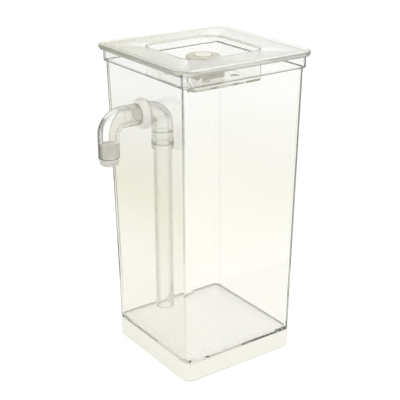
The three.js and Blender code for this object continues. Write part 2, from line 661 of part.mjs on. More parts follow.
// Button: a hollow cap held in by a flange, with a stem that works the switch.
function buttonGeometry() {
  const top = LAMP_HEIGHT + BUTTON_PROUD;
  const lipTop = LAMP_HEIGHT - LAMP_TOP - FIT_GAP;
  const lipBottom = lipTop - BUTTON_LIP_HEIGHT;
  const stem = BUTTON_STEM_DIAMETER / 2;
  return turned([
    [0, stemEnd],
    [stem, stemEnd],
    [stem, top - BUTTON_WALL],
    [buttonRadius - BUTTON_WALL, top - BUTTON_WALL],
    [buttonRadius - BUTTON_WALL, lipBottom],
    [buttonRadius + BUTTON_LIP, lipBottom],
    [buttonRadius + BUTTON_LIP, lipTop],
    [buttonRadius, lipTop],
    [buttonRadius, top - BUTTON_EDGE],
    [buttonRadius - BUTTON_EDGE, top],
    [0, top],
  ]);
}

function boardGeometry() {
  const holes = screwPlaces.map(({ x, y }) =>
    rod(screwHole, BOARD_LEVEL - CUT_OVERRUN, boardTop + CUT_OVERRUN, FINE_ROUND_STEPS).translate(x, y, 0));
  return cut(rod(lampBoreRadius - FIT_GAP, BOARD_LEVEL, boardTop), ...holes);
}

function switchGeometry() {
  const body = block(SWITCH_SIDE, SWITCH_SIDE, SWITCH_HEIGHT).translate(0, 0, boardTop + SWITCH_HEIGHT / 2);
  const wellBottom = stemEnd - BUTTON_TRAVEL - FIT_GAP;
  const wellRadius = BUTTON_STEM_DIAMETER / 2 + FIT_GAP;
  const well = rod(wellRadius, wellBottom, switchTop + CUT_OVERRUN, FINE_ROUND_STEPS);
  return cut(body, well);
}

// Light-emitting diode: its dome points down into the spigot, its two legs reach the board.
function ledGeometry() {
  const radius = LED_DIAMETER / 2;
  const flange = LED_FLANGE_DIAMETER / 2;
  const bottom = spigotBottom + 2 * FIT_GAP;
  const top = bottom + LED_LENGTH;
  const body = turned([
    ...quarterRound(radius, bottom, radius, radius),
    [radius, top - LED_FLANGE],
    [flange, top - LED_FLANGE],
    [flange, top],
    [0, top],
  ], FINE_ROUND_STEPS);
  const legLength = BOARD_LEVEL - top + LED_FLANGE / 2;
  const legs = [-1, 1].map((side) =>
    block(LED_LEG, LED_LEG, legLength).translate(side * LED_LEG_SPACING / 2, 0, BOARD_LEVEL - legLength / 2));
  return join(body, ...legs);
}

function screwGeometry() {
  const head = SCREW_HEAD_DIAMETER / 2;
  const shank = SCREW_DIAMETER / 2;
  const end = boardTop + BOSS_END_GAP + SCREW_BITE;
  return turned([
    [0, 0],
    [head, 0],
    [head, SCREW_HEAD],
    [shank, SCREW_HEAD],
    [shank, end],
    [0, end],
  ], FINE_ROUND_STEPS);
}

// Battery drawer: a flat-fronted tray with a pocket for each cell, a slot for the strip below them,
// and notches in its back wall that clear the contacts as it slides out.
function drawerGeometry() {
  const depth = drawerFront - DRAWER_BACK;
  const tray = block(2 * (lampRadius - DRAWER_SIDE_INSET), depth, DRAWER_HEIGHT)
    .translate(0, -DRAWER_BACK - depth / 2, FIT_GAP + DRAWER_HEIGHT / 2);
  const floor = FIT_GAP + DRAWER_FLOOR;
  const top = drawerTop + CUT_OVERRUN;
  const cellCuts = [-1, 1].flatMap((side) => {
    const x = side * CELL_SPACING / 2;
    return [
      rod(pocketRadius, floor, top).translate(x, -cellOffset, 0),
      block(CONTACT_NOTCH_WIDTH, cellOffset, top - cellTop)
        .translate(x, -cellOffset / 2, (top + cellTop) / 2),
    ];
  });
  const [length, width] = BRIDGE_SIZE;
  const slot = block(length + 2 * CELL_GAP, width + 2 * CELL_GAP, cellTop - floor)
    .translate(0, -cellOffset, (cellTop + floor) / 2);
  return cut(tray, ...cellCuts, slot);
}

function cellGeometry() {
  return rod(CELL_DIAMETER / 2, cellBottom, cellTop, FINE_ROUND_STEPS);
}

function bridgeGeometry() {
  return block(...BRIDGE_SIZE).translate(0, -cellOffset, cellBottom - BRIDGE_SIZE[2] / 2);
}

// Leaf contact on the board's underside, with a dimple over the cell.
function contactGeometry() {
  const [width, length, thickness] = CONTACT_SIZE;
  const middle = BOARD_LEVEL - thickness / 2;
  const leaf = block(width, length, thickness).translate(0, length / 2 - CONTACT_OVERHANG, middle);
  const dimple = rod(CONTACT_DIMPLE_DIAMETER / 2, cellTop + CONTACT_LIFT, middle, FINE_ROUND_STEPS);
  return join(leaf, dimple);
}

function resistorGeometry() {
  return block(...RESISTOR_SIZE).translate(0, -RESISTOR_OFFSET, boardTop + RESISTOR_SIZE[2] / 2);
}

// Siphon, in a group at the hole in the wall's outer face.
function siphonGroup() {
  const group = new THREE.Group();
  group.position.set(-wallFace, 0, siphonHeight);
  const axis = TANK_WALL + INTAKE_INSET;

  const intake = piece('intake_tube', intakeGeometry(), 'clear', transparent);
  intake.position.set(axis, 0, INTAKE_END_HEIGHT - siphonHeight);

  const intakeSeal = piece('intake_seal', sealRing(INTAKE_DIAMETER / 2 + SEAL_GAP), 'silicone');
  intakeSeal.position.set(axis, 0, BEAD_OFFSET + BEAD_LENGTH / 2 - SOCKET_DROP);

  const spoutSeal = piece('spout_seal', sealRing(SPIGOT_DIAMETER / 2 + SEAL_GAP), 'silicone');
  spoutSeal.rotation.y = QUARTER_TURN;
  spoutSeal.position.x = -(grommetFrontFace + FIT_GAP + SPIGOT_REACH / 2);

  const stopper = piece('drain_stopper', stopperGeometry(), 'silicone');
  stopper.position.set(-SPOUT_REACH, 0, -OUTLET_DROP);

  group.add(
    piece('wall_grommet', grommetGeometry(), 'silicone'),
    piece('inner_elbow', innerElbowGeometry(), 'clear', transparent),
    piece('spout_elbow', spoutGeometry(), 'clear', transparent),
    intake,
    intakeSeal,
    spoutSeal,
    stopper,
  );
  return group;
}

// Lamp, in a group on the well's floor.
function lampGroup() {
  const group = new THREE.Group();
  group.position.z = wellFloor;
  group.add(
    piece('lamp_housing', housingGeometry(), 'lampGrey'),
    piece('lamp_base', baseGeometry(), 'lampGrey'),
    piece('lamp_gasket', gasketGeometry(), 'rubber'),
    piece('light_lens', lensGeometry(), 'clear', transparent),
    piece('lamp_button', buttonGeometry(), 'buttonIvory'),
    piece('lamp_board', boardGeometry(), 'board'),
    piece('push_switch', switchGeometry(), 'black'),
    piece('led', ledGeometry(), 'buttonIvory'),
    piece('led_resistor', resistorGeometry(), 'black'),
    piece('battery_drawer', drawerGeometry(), 'drawerBrown'),
    piece('cell_bridge', bridgeGeometry(), 'steel'),
  );
  for (const { side, x, y } of screwPlaces) {
    const screw = piece(`lamp_screw_${side}`, screwGeometry(), 'steel');
    screw.position.set(x, y, 0);
    const sign = Math.sign(x);
    const cell = piece(`button_cell_${side}`, cellGeometry(), 'steel');
    cell.position.set(sign * CELL_SPACING / 2, -cellOffset, 0);
    const contact = piece(`cell_contact_${side}`, contactGeometry(), 'steel');
    contact.position.set(sign * CELL_SPACING / 2, -cellOffset, 0);
    group.add(screw, cell, contact);
  }
  return group;
}

const fishTank = new THREE.Group();
fishTank.add(
  piece('base_plinth', plinthGeometry(), 'white'),
  piece('tank_body', tankGeometry(), 'clear', transparent),
  siphonGroup(),
  piece('lid', lidGeometry(), 'lid', transparent),
  lampGroup(),
);

export default fishTank;
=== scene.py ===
"""A tall square fish tank that is cleaned by pouring water in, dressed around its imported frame.

Sizes are in millimetres, with +Z up and the origin on the surface below the middle of the plinth.
The drain spout points to -X and the battery drawer opens to -Y.
"""

from __future__ import annotations

import json
import logging
import math
from collections.abc import Callable, Iterable, Sequence
from dataclasses import dataclass
from enum import Enum
from functools import cached_property

import bpy
from mathutils import Matrix, Vector

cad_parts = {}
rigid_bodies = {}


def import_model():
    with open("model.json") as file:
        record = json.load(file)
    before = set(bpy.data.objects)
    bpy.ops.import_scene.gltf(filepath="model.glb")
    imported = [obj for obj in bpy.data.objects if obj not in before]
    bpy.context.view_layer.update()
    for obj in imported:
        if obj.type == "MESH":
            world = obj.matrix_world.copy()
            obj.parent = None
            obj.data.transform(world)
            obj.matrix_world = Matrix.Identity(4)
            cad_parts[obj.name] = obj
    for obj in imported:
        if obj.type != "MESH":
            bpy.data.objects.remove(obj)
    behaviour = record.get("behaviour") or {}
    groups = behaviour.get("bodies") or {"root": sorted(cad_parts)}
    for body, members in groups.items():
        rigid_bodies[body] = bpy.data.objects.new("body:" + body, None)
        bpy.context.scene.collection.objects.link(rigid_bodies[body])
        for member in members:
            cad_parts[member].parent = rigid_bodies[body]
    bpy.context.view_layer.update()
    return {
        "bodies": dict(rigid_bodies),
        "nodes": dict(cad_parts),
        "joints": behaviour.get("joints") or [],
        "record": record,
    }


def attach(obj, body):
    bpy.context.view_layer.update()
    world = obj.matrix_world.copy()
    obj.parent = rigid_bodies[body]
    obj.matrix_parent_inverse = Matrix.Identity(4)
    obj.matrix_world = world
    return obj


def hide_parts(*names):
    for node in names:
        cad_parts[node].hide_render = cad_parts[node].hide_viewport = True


LOG = logging.getLogger("fish_tank")

MM = 0.001
QUARTER = math.pi / 2
ARC_STEPS = 10  # facets in a rounded corner of a square outline
EDGE_STEPS = 6  # facets in a rounded edge
ROUND_STEPS = 72  # facets round a turned piece
BEND_STEPS = 18  # facets along a pipe's bend
SECTION_STEPS = 24  # facets round the section of a ring seal
HOLD = 0.12  # a long face is held flat this close to its rounded edges
LONG_FACE = 1.0  # faces longer than this are held flat
AXIS_RADIUS = 0.02  # radius left where a turned profile meets its axis
CLIP_SHARE = 0.45  # largest share of a side that the rounding of one corner takes
SHARP_ANGLE = math.radians(34)
OVERRUN = 1.0  # how far a cutter runs past what it cuts

# Fits
FIT_GAP = 0.3  # air between pieces that slide, snap or are screwed together
SEAL_GAP = 0.15  # air between a ring seal and what it turns on
SEAT = 0.04  # air left between faces that rest on each other
BOND = 0.02  # overlap of faces that are pressed together wet, so that no air shows between them

Point = tuple[float, float, float]
Colour = tuple[float, float, float]
Ring = list[Point]
Profile = list[tuple[float, float]]


class Body(Enum):
    """The bodies of the frame that pieces ride on."""

    TANK = "tank"
    INTAKE = "intake"
    SPOUT = "spout"
    STOPPER = "stopper"
    LID = "lid"
    BUTTON = "button"
    DRAWER = "drawer"


class Slot(Enum):
    """The record's material slots."""

    WHITE = "white"
    CLEAR = "clear"
    LID = "lid"
    SILICONE = "silicone"
    LAMP_GREY = "lamp_grey"
    BUTTON_IVORY = "button_ivory"
    DRAWER_BROWN = "drawer_brown"
    RUBBER = "rubber"
    STEEL = "steel"


# Shapes


def turns(steps: int) -> list[float]:
    """Gives the angles of even steps round a full turn."""
    return [2 * math.pi * step / steps for step in range(steps)]


def quarter_turns() -> list[float]:
    """Gives the angles of even steps through a quarter turn, with both ends."""
    return [step / EDGE_STEPS * QUARTER for step in range(EDGE_STEPS + 1)]


def square_ring(side: float, corner: float, height: float) -> Ring:
    """Gives one level of a square shell with round corners.

    Args:
        side: Length of the square's side.
        corner: Radius of its corners.
        height: Level of the ring.

    Returns:
        The ring's points, with one beside each end of each corner that holds the side straight.
    """
    reach = side / 2 - corner
    hold = min(HOLD, reach / 2)
    ring: Ring = []
    for turn, (sx, sy) in enumerate(((1, 1), (-1, 1), (-1, -1), (1, -1))):
        arc = []
        for step in range(ARC_STEPS + 1):
            angle = (turn + step / ARC_STEPS) * QUARTER
            across, along = corner * math.cos(angle), corner * math.sin(angle)
            arc.append((sx * reach + across, sy * reach + along))
        start = turn * QUARTER
        before = (arc[0][0] + hold * math.sin(start), arc[0][1] - hold * math.cos(start))
        end = start + QUARTER
        after = (arc[-1][0] - hold * math.sin(end), arc[-1][1] + hold * math.cos(end))
        ring += [(x, y, height) for x, y in (before, *arc, after)]
    return ring


def rounding(
    side: float, corner: float, height: float, radius: float, climb: int, outwards: bool
) -> list[Ring]:
    """Gives the rings of a quarter round on a square shell.

    Args:
        side: Side of the square where the rounding meets the upright wall.
        corner: Corner radius there.
        height: Level of the flat face that the rounding meets.
        radius: Radius of the rounding. Below 0, it flares over the mouth of a hollow.
        climb: 1 where the wall is above the flat face, -1 where it is below. A flare swaps them.
        outwards: True to go from the flat face to the wall, False for the other way.

    Returns:
        The rings, in order.
    """
    rings = []
    for angle in quarter_turns() if outwards else reversed(quarter_turns()):
        inset = radius * (1 - math.sin(angle))
        level = height + climb * radius * (1 - math.cos(angle))
        rings.append(square_ring(side - 2 * inset, corner - inset, level))
    return rings


def mouth_rounding(side: float, corner: float, top: float, radius: float) -> list[Ring]:
    """Gives the rings of a rounding over the mouth of a hollow, from its flat top down into it."""
    return rounding(side, corner, top, -radius, 1, True)


def quarter(radius: float, height: float, width: float, rise: float) -> Profile:
    """Gives a quarter round from an end face to the side. Its rise is below 0 under a top face."""
    sweep = [(1 - math.sin(angle), 1 - math.cos(angle)) for angle in quarter_turns()]
    return [(radius - width * across, height + rise * along) for across, along in sweep]


def softened(corners: Profile, radius: float) -> Profile:
    """Rounds every corner of a profile by a small radius, or less where its sides are short.

    Args:
        corners: The profile's corner points. The first and the last stay.
        radius: The largest rounding.

    Returns:
        The profile with each inner corner replaced by a short arc.
    """
    result = [corners[0]]
    for before, here, after in zip(corners, corners[1:], corners[2:]):
        into = Vector(here) - Vector(before)
        onward = Vector(after) - Vector(here)
        reach = min(radius, into.length * CLIP_SHARE, onward.length * CLIP_SHARE)
        start = Vector(here) - into.normalized() * reach
        end = Vector(here) + onward.normalized() * reach
        for step in range(EDGE_STEPS // 2 + 1):
            share = step / (EDGE_STEPS // 2)
            first = start.lerp(Vector(here), share)
            second = Vector(here).lerp(end, share)
            result.append(tuple(first.lerp(second, share)))
    result.append(corners[-1])
    return result


def circle_ring(radius: float, height: float) -> Ring:
    """Gives a round ring about +Z."""
    ways = [(math.cos(turn), math.sin(turn)) for turn in turns(ROUND_STEPS)]
    return [(radius * across, radius * along, height) for across, along in ways]


def held(rings: Sequence[Ring], closed: bool) -> list[Ring]:
    """Adds a ring close to each end of every long face, so that smooth shading leaves it flat.

    Args:
        rings: Rings with the same number of points.
        closed: True where the last ring joins the first.

    Returns:
        The rings with the holding rings between them.
    """
    result = []
    following = [*rings[1:], rings[0]] if closed else [*rings[1:], None]
    for ring, after in zip(rings, following):
        result.append(ring)
        if after is None:
            continue
        length = max(math.dist(a, b) for a, b in zip(ring, after))
        if length > LONG_FACE:
            sides = [(Vector(a), Vector(b)) for a, b in zip(ring, after)]
            for share in (HOLD / length, 1 - HOLD / length):
                result.append([tuple(a.lerp(b, share)) for a, b in sides])
    return result


class Shell:
    """A closed surface through a stack of rings, and what can be done to it."""

    def __init__(self, rings: Sequence[Ring], closed: bool = False) -> None:
        """Builds the mesh.

        Args:
            rings: Rings with the same number of points, counter-clockwise seen from the last one.
            closed: True where the last ring joins the first. Otherwise both get a flat cap.
        """
        stack = held(rings, closed)
        count = len(stack[0])
        points = [point for ring in stack for point in ring]
        faces: list[tuple[int, ...]] = []
        for level in range(len(stack) if closed else len(stack) - 1):
            low = level * count
            high = (level + 1) % len(stack) * count
            for k in range(count):
                after = (k + 1) % count
                faces.append((low + k, low + after, high + after, high + k))
        if not closed:
            faces.append(tuple(reversed(range(count))))
            faces.append(tuple(range(len(points) - count, len(points))))
        self.mesh = bpy.data.meshes.new("shell")
        self.mesh.from_pydata([Vector(p) * MM for p in points], [], faces)
        self.mesh.validate()

    def placed(self, matrix: Matrix) -> Shell:
        """Turns and moves the shell.

        Args:
            matrix: The turn, and the move in millimetres.

        Returns:
            The shell itself.
        """
        scaled = matrix.copy()
        scaled.translation = matrix.translation * MM
        self.mesh.transform(scaled)
        return self

    def laid(self) -> Shell:
        """Lays the shell down, so that what pointed to +Z points to -X."""
        return self.placed(Matrix.Rotation(-QUARTER, 4, "Y"))

    def moved(self, x: float, y: float, z: float) -> Shell:
        """Moves the shell by lengths in millimetres."""
        return self.placed(Matrix.Translation((x, y, z)))


def turned(profile: Profile) -> Shell:
    """Makes a turned body about +Z.

    Args:
        profile: Radius and height pairs, anticlockwise with the radius to the right. Its ends lie
            on the axis, or it closes on itself.

    Returns:
        The body's shell.
    """
    closed = profile[0] == profile[-1]
    points = profile[:-1] if closed else profile
    rings = [circle_ring(max(radius, AXIS_RADIUS), height) for radius, height in points]
    return Shell(rings, closed)


def rod(radius: float, low: float, high: float) -> Shell:
    """Makes a plain round rod or cutter about +Z, between two levels."""
    return turned([(0, low), (radius, low), (radius, high), (0, high)])


def block(low: Point, high: Point) -> Shell:
    """Makes a plain block or cutter between two opposite corners."""
    outline = [(low[0], low[1]), (high[0], low[1]), (high[0], high[1]), (low[0], high[1])]
    return Shell([[(x, y, z) for x, y in outline] for z in (low[2], high[2])])


class Elbow:
    """A level run along X, a quarter bend, and a run straight down."""

    def __init__(self, start: Point, direction: int, run: float, bend: float, drop: float) -> None:
        """Sets out the path.

        Args:
            start: Where it starts.
            direction: 1 to run towards +X, -1 towards -X.
            run: Length of the level run.
            bend: Radius of the bend.
            drop: Length of the run straight down.
        """
        self.start, self.direction, self.run, self.bend = start, direction, run, bend
        self.arc = bend * QUARTER
        self.length = run + self.arc + drop

    def ring(self, along: float, radius: float) -> Ring:
        """Gives a round ring square to the path.

        Args:
            along: Distance along the path.
            radius: The ring's radius.

        Returns:
            The ring's points.
        """
        angle = min(max((along - self.run) / self.bend, 0), QUARTER)
        level = min(along, self.run) + self.bend * math.sin(angle)
        down = self.bend * (1 - math.cos(angle)) + max(along - self.run - self.arc, 0)
        centre = Vector((self.start[0] + self.direction * level, 0, self.start[2] - down))
        tangent = Vector((self.direction * math.cos(angle), 0, -math.sin(angle)))
        side = Vector((0, 1, 0))
        up = tangent.cross(side)
        ways = [math.cos(turn) * side + math.sin(turn) * up for turn in turns(ROUND_STEPS)]
        return [tuple(centre + radius * way) for way in ways]

    def rings(self, stations: Profile) -> list[Ring]:
        """Gives the rings of a pipe's wall, with close ones round the bend.

        Args:
            stations: Radius and distance along the path of each turn in the wall's profile.

        Returns:
            The rings, in the order of the stations.
        """
        marks = [self.run + self.arc * step / BEND_STEPS for step in range(BEND_STEPS + 1)]
        rings = []
        for (r0, s0), (r1, s1) in zip(stations, stations[1:]):
            rings.append(self.ring(s0, r0))
            if abs(r1 - r0) < FIT_GAP and abs(s1 - s0) > LONG_FACE:
                inside = [mark for mark in marks if min(s0, s1) + HOLD < mark < max(s0, s1) - HOLD]
                for mark in inside if s1 > s0 else reversed(inside):
                    rings.append(self.ring(mark, r0 + (r1 - r0) * (mark - s0) / (s1 - s0)))
        rings.append(self.ring(stations[-1][1], stations[-1][0]))
        return rings

    def pipe(self, walls: Profile) -> Shell:
        """Makes a hollow pipe from a closed profile of radius and distance along the path."""
        return Shell(self.rings(walls)[:-1], closed=True)


def added(name: str, data: bpy.types.ID) -> bpy.types.Object:
    """Puts a mesh, a lamp or a camera in the scene.

    Args:
        name: The object's name.
        data: What it shows.

    Returns:
        The object, at the origin.
    """
    made = bpy.data.objects.new(name, data)
    bpy.context.scene.collection.objects.link(made)
    return made


def baked(source: bpy.types.Object, *helpers: bpy.types.Object) -> bpy.types.Mesh:
    """Turns an object with its modifiers into a plain mesh, and clears the objects away.

    Args:
        source: The object.
        helpers: Other objects that its modifiers need.

    Returns:
        The plain mesh.
    """
    graph = bpy.context.evaluated_depsgraph_get()
    graph.update()
    mesh = bpy.data.meshes.new_from_object(
        source.evaluated_get(graph), preserve_all_data_layers=True, depsgraph=graph
    )
    source.modifiers.clear()
    for spent in (source, *helpers):
        old = spent.data
        bpy.data.objects.remove(spent)
        bpy.data.meshes.remove(old)
    return mesh


def combined(first: Shell, others: Iterable[Shell], operation: str) -> Shell:
    """Joins shells to one, or cuts them from it.

    Args:
        first: The shell to change.
        others: The shells to join or to cut away.
        operation: UNION or DIFFERENCE.

    Returns:
        The first shell, with its new mesh.
    """
    work = added("work", first.mesh)
    tools = [added("tool", other.mesh) for other in others]
    for tool in tools:
        modifier = work.modifiers.new("combine", "BOOLEAN")
        modifier.operation = operation
        modifier.solver = "EXACT"
        modifier.object = tool
    first.mesh = baked(work, *tools)
    return first


class CopyRow:
    """A Geometry Nodes tree that sets turned copies of a mesh in a row."""

    def __init__(self) -> None:
        """Builds the tree with named inputs for the count, start, step and turn of the copies."""
        tree = bpy.data.node_groups.new("copy row", "GeometryNodeTree")
        for name, kind in (
            ("Source", "NodeSocketObject"),
            ("Count", "NodeSocketInt"),
            ("Start", "NodeSocketVector"),
            ("Step", "NodeSocketVector"),
            ("Turn", "NodeSocketFloat"),
            ("Finish", "NodeSocketMaterial"),
        ):
            tree.interface.new_socket(name=name, in_out="INPUT", socket_type=kind)
        tree.interface.new_socket(name="Copies", in_out="OUTPUT", socket_type="NodeSocketGeometry")
        made = {
            key: tree.nodes.new(kind)
            for key, kind in (
                ("in", "NodeGroupInput"),
                ("line", "GeometryNodeMeshLine"),
                ("source", "GeometryNodeObjectInfo"),
                ("index", "GeometryNodeInputIndex"),
                ("turn", "ShaderNodeMath"),
                ("axis", "ShaderNodeCombineXYZ"),
                ("copies", "GeometryNodeInstanceOnPoints"),
                ("real", "GeometryNodeRealizeInstances"),
                ("finish", "GeometryNodeSetMaterial"),
                ("out", "NodeGroupOutput"),
            )
        }
        made["line"].mode = "OFFSET"
        made["turn"].operation = "MULTIPLY"
        for source, output, target, socket in (
            ("in", "Count", "line", "Count"),
            ("in", "Start", "line", "Start Location"),
            ("in", "Step", "line", "Offset"),
            ("in", "Source", "source", "Object"),
            ("index", "Index", "turn", 0),
            ("in", "Turn", "turn", 1),
            ("turn", "Value", "axis", "Z"),
            ("line", "Mesh", "copies", "Points"),
            ("source", "Geometry", "copies", "Instance"),
            ("axis", "Vector", "copies", "Rotation"),
            ("copies", "Instances", "real", "Geometry"),
            ("real", "Geometry", "finish", "Geometry"),
            ("in", "Finish", "finish", "Material"),
            ("finish", "Geometry", "out", "Copies"),
        ):
            tree.links.new(made[source].outputs[output], made[target].inputs[socket])
        self.tree = tree
        sockets = [item for item in tree.interface.items_tree if item.in_out == "INPUT"]
        self.inputs = {socket.name: socket.identifier for socket in sockets}

    def copies(
        self,
        source: Shell,
        finish: Finish,
        count: int,
        start: Point,
        step: Point = (0, 0, 0),
        turn: float = 0,
    ) -> Shell:
        """Sets copies of a shell in a row.

        Args:
            source: The shell to copy. It is used up.
            finish: The copies' finish.
            count: How many copies there are.
            start: Place of the first.
            step: From each copy to the next.
            turn: How far each copy is turned from the one before, in radians.

        Returns:
            The copies as one shell.
        """
        pattern = added("pattern", source.mesh)
        carrier = added("carrier", bpy.data.meshes.new("carrier"))
        modifier = carrier.modifiers.new("copies", "NODES")
        modifier.node_group = self.tree
        values = {
            "Source": pattern,
            "Count": count,
            "Start": tuple(Vector(start) * MM),
            "Step": tuple(Vector(step) * MM),
            "Turn": float(turn),
            "Finish": finish.material,
        }
        for key, value in values.items():
            modifier[self.inputs[key]] = value
        source.mesh = baked(carrier, pattern)
        return source


# Materials


class Signal:
    """A value in a node sheet. Arithmetic on it adds Math nodes."""

    def __init__(self, sheet: Sheet, socket: bpy.types.NodeSocket) -> None:
        """Wraps an output socket of a node sheet."""
        self.sheet, self.socket = sheet, socket

    def _math(self, operation: str, first: Signal | float, second: Signal | float) -> Signal:
        """Adds one Math node."""
        return self.sheet.node("ShaderNodeMath", {"operation": operation}, {0: first, 1: second})

    def __add__(self, other: Signal | float) -> Signal:
        """Adds a number."""
        return self._math("ADD", self, other)

    def __sub__(self, other: Signal | float) -> Signal:
        """Takes a number away."""
        return self._math("SUBTRACT", self, other)

    def __rsub__(self, other: float) -> Signal:
        """Takes this from a number."""
        return self._math("SUBTRACT", other, self)

    def __mul__(self, other: Signal | float) -> Signal:
        """Multiplies by a number."""
        return self._math("MULTIPLY", self, other)

    __radd__ = __add__
    __rmul__ = __mul__

    def or_larger(self, other: Signal) -> Signal:
        """Gives the larger of two values."""
        return self._math("MAXIMUM", self, other)


class Sheet:
    """The node sheet of a material or of the world."""

    def __init__(self, owner: bpy.types.Material | bpy.types.World) -> None:
        """Starts on the nodes of a material or a world."""
        owner.use_nodes = True
        self.tree = owner.node_tree

    def node(
        self,
        kind: str,
        settings: dict[str, object],
        inputs: dict[int | str, Signal | float | tuple],
        output: str | int = 0,
    ) -> Signal:
        """Adds a node.

        Args:
            kind: The node's type.
            settings: Its settings, set first. stops gives a ramp's places and colours, and easing
                how it goes from one to the next.
            inputs: Values or signals for its sockets.
            output: The output that is wanted.

        Returns:
            That output as a signal.
        """
        made = self.tree.nodes.new(kind)
        for key, value in settings.items():
            if key == "stops":
                ramp = made.color_ramp.elements
                while len(ramp) < len(value):
                    ramp.new(1.0)
                for element, (place, colour) in zip(ramp, value):
                    element.position, element.color = place, (*colour, 1)
            elif key == "easing":
                made.color_ramp.interpolation = value
            else:
                setattr(made, key, value)
        for key, value in inputs.items():
            self.feed(made.inputs[key], value)
        return Signal(self, made.outputs[output])

    def feed(self, socket: bpy.types.NodeSocket, value: Signal | float | tuple) -> None:
        """Gives a socket a signal or a value.

        Args:
            socket: The input socket.
            value: What it is given.
        """
        if isinstance(value, Signal):
            self.tree.links.new(value.socket, socket)
        else:
            socket.default_value = value


@dataclass(frozen=True)
class Cloud:
    """A cloudy pattern, with its scale in cycles a metre."""

    scale: float
    detail: float = 2.0
    stretch: Point = (1, 1, 1)


class Surface(Sheet):
    """The node sheet of one material, with a Principled surface."""

    def __init__(self, name: str) -> None:
        """Starts a material.

        Args:
            name: The material's name.
        """
        self.material = bpy.data.materials.new(name)
        super().__init__(self.material)
        self.principled = self.tree.nodes["Principled BSDF"]
        self.place = self.node("ShaderNodeTexCoord", {}, {}, "Object")

    def set(self, **values: Signal | float | tuple) -> None:
        """Sets inputs of the surface, named with underscores for spaces."""
        for key, value in values.items():
            self.feed(self.principled.inputs[key.replace("_", " ")], value)

    def attribute(self, name: str) -> Signal:
        """Reads one of the mesh's attributes."""
        return self.node("ShaderNodeAttribute", {"attribute_name": name}, {}, "Fac")

    def noise(self, cloud: Cloud) -> Signal:
        """Draws a cloudy pattern.

        Args:
            cloud: The pattern.

        Returns:
            The pattern, from 0 to 1.
        """
        place = self.node("ShaderNodeMapping", {}, {"Vector": self.place, "Scale": cloud.stretch})
        inputs = {"Vector": place, "Scale": cloud.scale, "Detail": cloud.detail}
        return self.node("ShaderNodeTexNoise", {}, inputs)

    def ramp(self, value: Signal, low: float, high: float) -> Signal:
        """Rises smoothly from 0 to 1 while a signal goes from low to high."""
        limits = {"Value": value, "From Min": low, "From Max": high}
        return self.node("ShaderNodeMapRange", {"interpolation_type": "SMOOTHSTEP"}, limits)

    def blended(self, amount: Signal, first: Signal | Colour, second: Signal | Colour) -> Signal:
        """Blends from one colour to another.

        Args:
            amount: From 0 for the first colour to 1 for the second.
            first: The first colour.
            second: The second colour.

        Returns:
            The blended colour.
        """
        ends = [end if isinstance(end, Signal) else (*end, 1) for end in (first, second)]
        inputs = {0: amount, 6: ends[0], 7: ends[1]}
        return self.node("ShaderNodeMix", {"data_type": "RGBA"}, inputs, 2)

    def bumped(self, height: Signal, depth: float) -> None:
        """Feeds the surface's normal from a height, at a depth in millimetres."""
        bump = {"Height": height, "Distance": depth * MM}
        self.set(Normal=self.node("ShaderNodeBump", {}, bump))


@dataclass(frozen=True)
class ClearPlastic:
    """Polished clear plastic whose edges look darker.

    Long paths through the plastic take up light. A glancing view of it is darkened with painted
    shade, by rim everywhere and by the mesh's edge attribute where it has one. The mesh's frost
    attribute says where the surface is satined, and its wall attribute where a tone colours it. The
    tone is one colour, or goes from colour to colour by height, in shares of its top.
    """

    name: str
    polish: tuple[Colour, Colour] = ((0.983, 0.984, 0.976), (0.994, 0.995, 0.990))
    edge: Colour = (0.60, 0.60, 0.50)
    density: float = 9.0
    roughness: float = 0.0
    handling: float = 0.02
    handled: Cloud = Cloud(55.0, 3.0)
    frosted: float = 0.0
    wave_depth: float = 0.012
    waves: Cloud = Cloud(28.0, 1.0, (1, 1, 0.35))
    index: float = 1.49
    # rim, rim_view, edge_view and the shade colour set the painted shade that darkens glancing
    # views
    rim: float = 0.0
    rim_view: tuple[float, float] = (0.5, 0.95)
    edge_view: tuple[float, float] = (0.10, 0.50)
    painted_shade: Colour = (0.07, 0.07, 0.06)
    tone: Colour | None = None
    tint_and_shade_heights: tuple[tuple[float, Colour], ...] = ()
    tone_top: float = 240.0

    def toned(self, sheet: Surface, polished: Signal) -> Signal:
        """Colours the polished plastic with its tone, a tint and painted shade.

        Args:
            sheet: The material's sheet.
            polished: The plastic's own colour.

        Returns:
            The colour with the tone where the mesh's wall attribute asks for it.
        """
        tone = self.tone
        if self.tint_and_shade_heights:
            height = sheet.node("ShaderNodeSeparateXYZ", {}, {"Vector": sheet.place}, "Z")
            share = height * (1 / (self.tone_top * MM))
            tone = sheet.node("ShaderNodeValToRGB", {"stops": self.tint_and_shade_heights}, {0: share})
        return sheet.blended(sheet.attribute("wall"), polished, tone) if tone else polished

    def material(self) -> bpy.types.Material:
        """Builds the material.

        Returns:
            The material.
        """
        sheet = Surface(self.name)
        facing = sheet.node("ShaderNodeLayerWeight", {}, {"Blend": 0.5}, "Facing")
        # Painted shade: a glancing view darkens the colour along marked edges and, by rim,
        # everywhere.
        edge_painted_shade = sheet.ramp(facing, *self.edge_view) * sheet.attribute("edge")
        rim_painted_shade = sheet.ramp(facing, *self.rim_view) * self.rim
        handled = sheet.noise(self.handled)
        polished = self.toned(sheet, sheet.blended(handled, *self.polish))
        frost = sheet.attribute("frost") * self.frosted
        sheet.set(
            Base_Color=sheet.blended(edge_painted_shade + rim_painted_shade, polished, self.painted_shade),
            Roughness=frost + handled * self.handling + self.roughness,
            IOR=self.index,
            Transmission_Weight=1.0,
        )
        sheet.bumped(sheet.noise(self.waves), self.wave_depth)
        depth = {"Color": (*self.edge, 1), "Density": self.density}
        volume = sheet.node("ShaderNodeVolumeAbsorption", {}, depth)
        sheet.feed(sheet.tree.nodes["Material Output"].inputs["Volume"], volume)
        return sheet.material


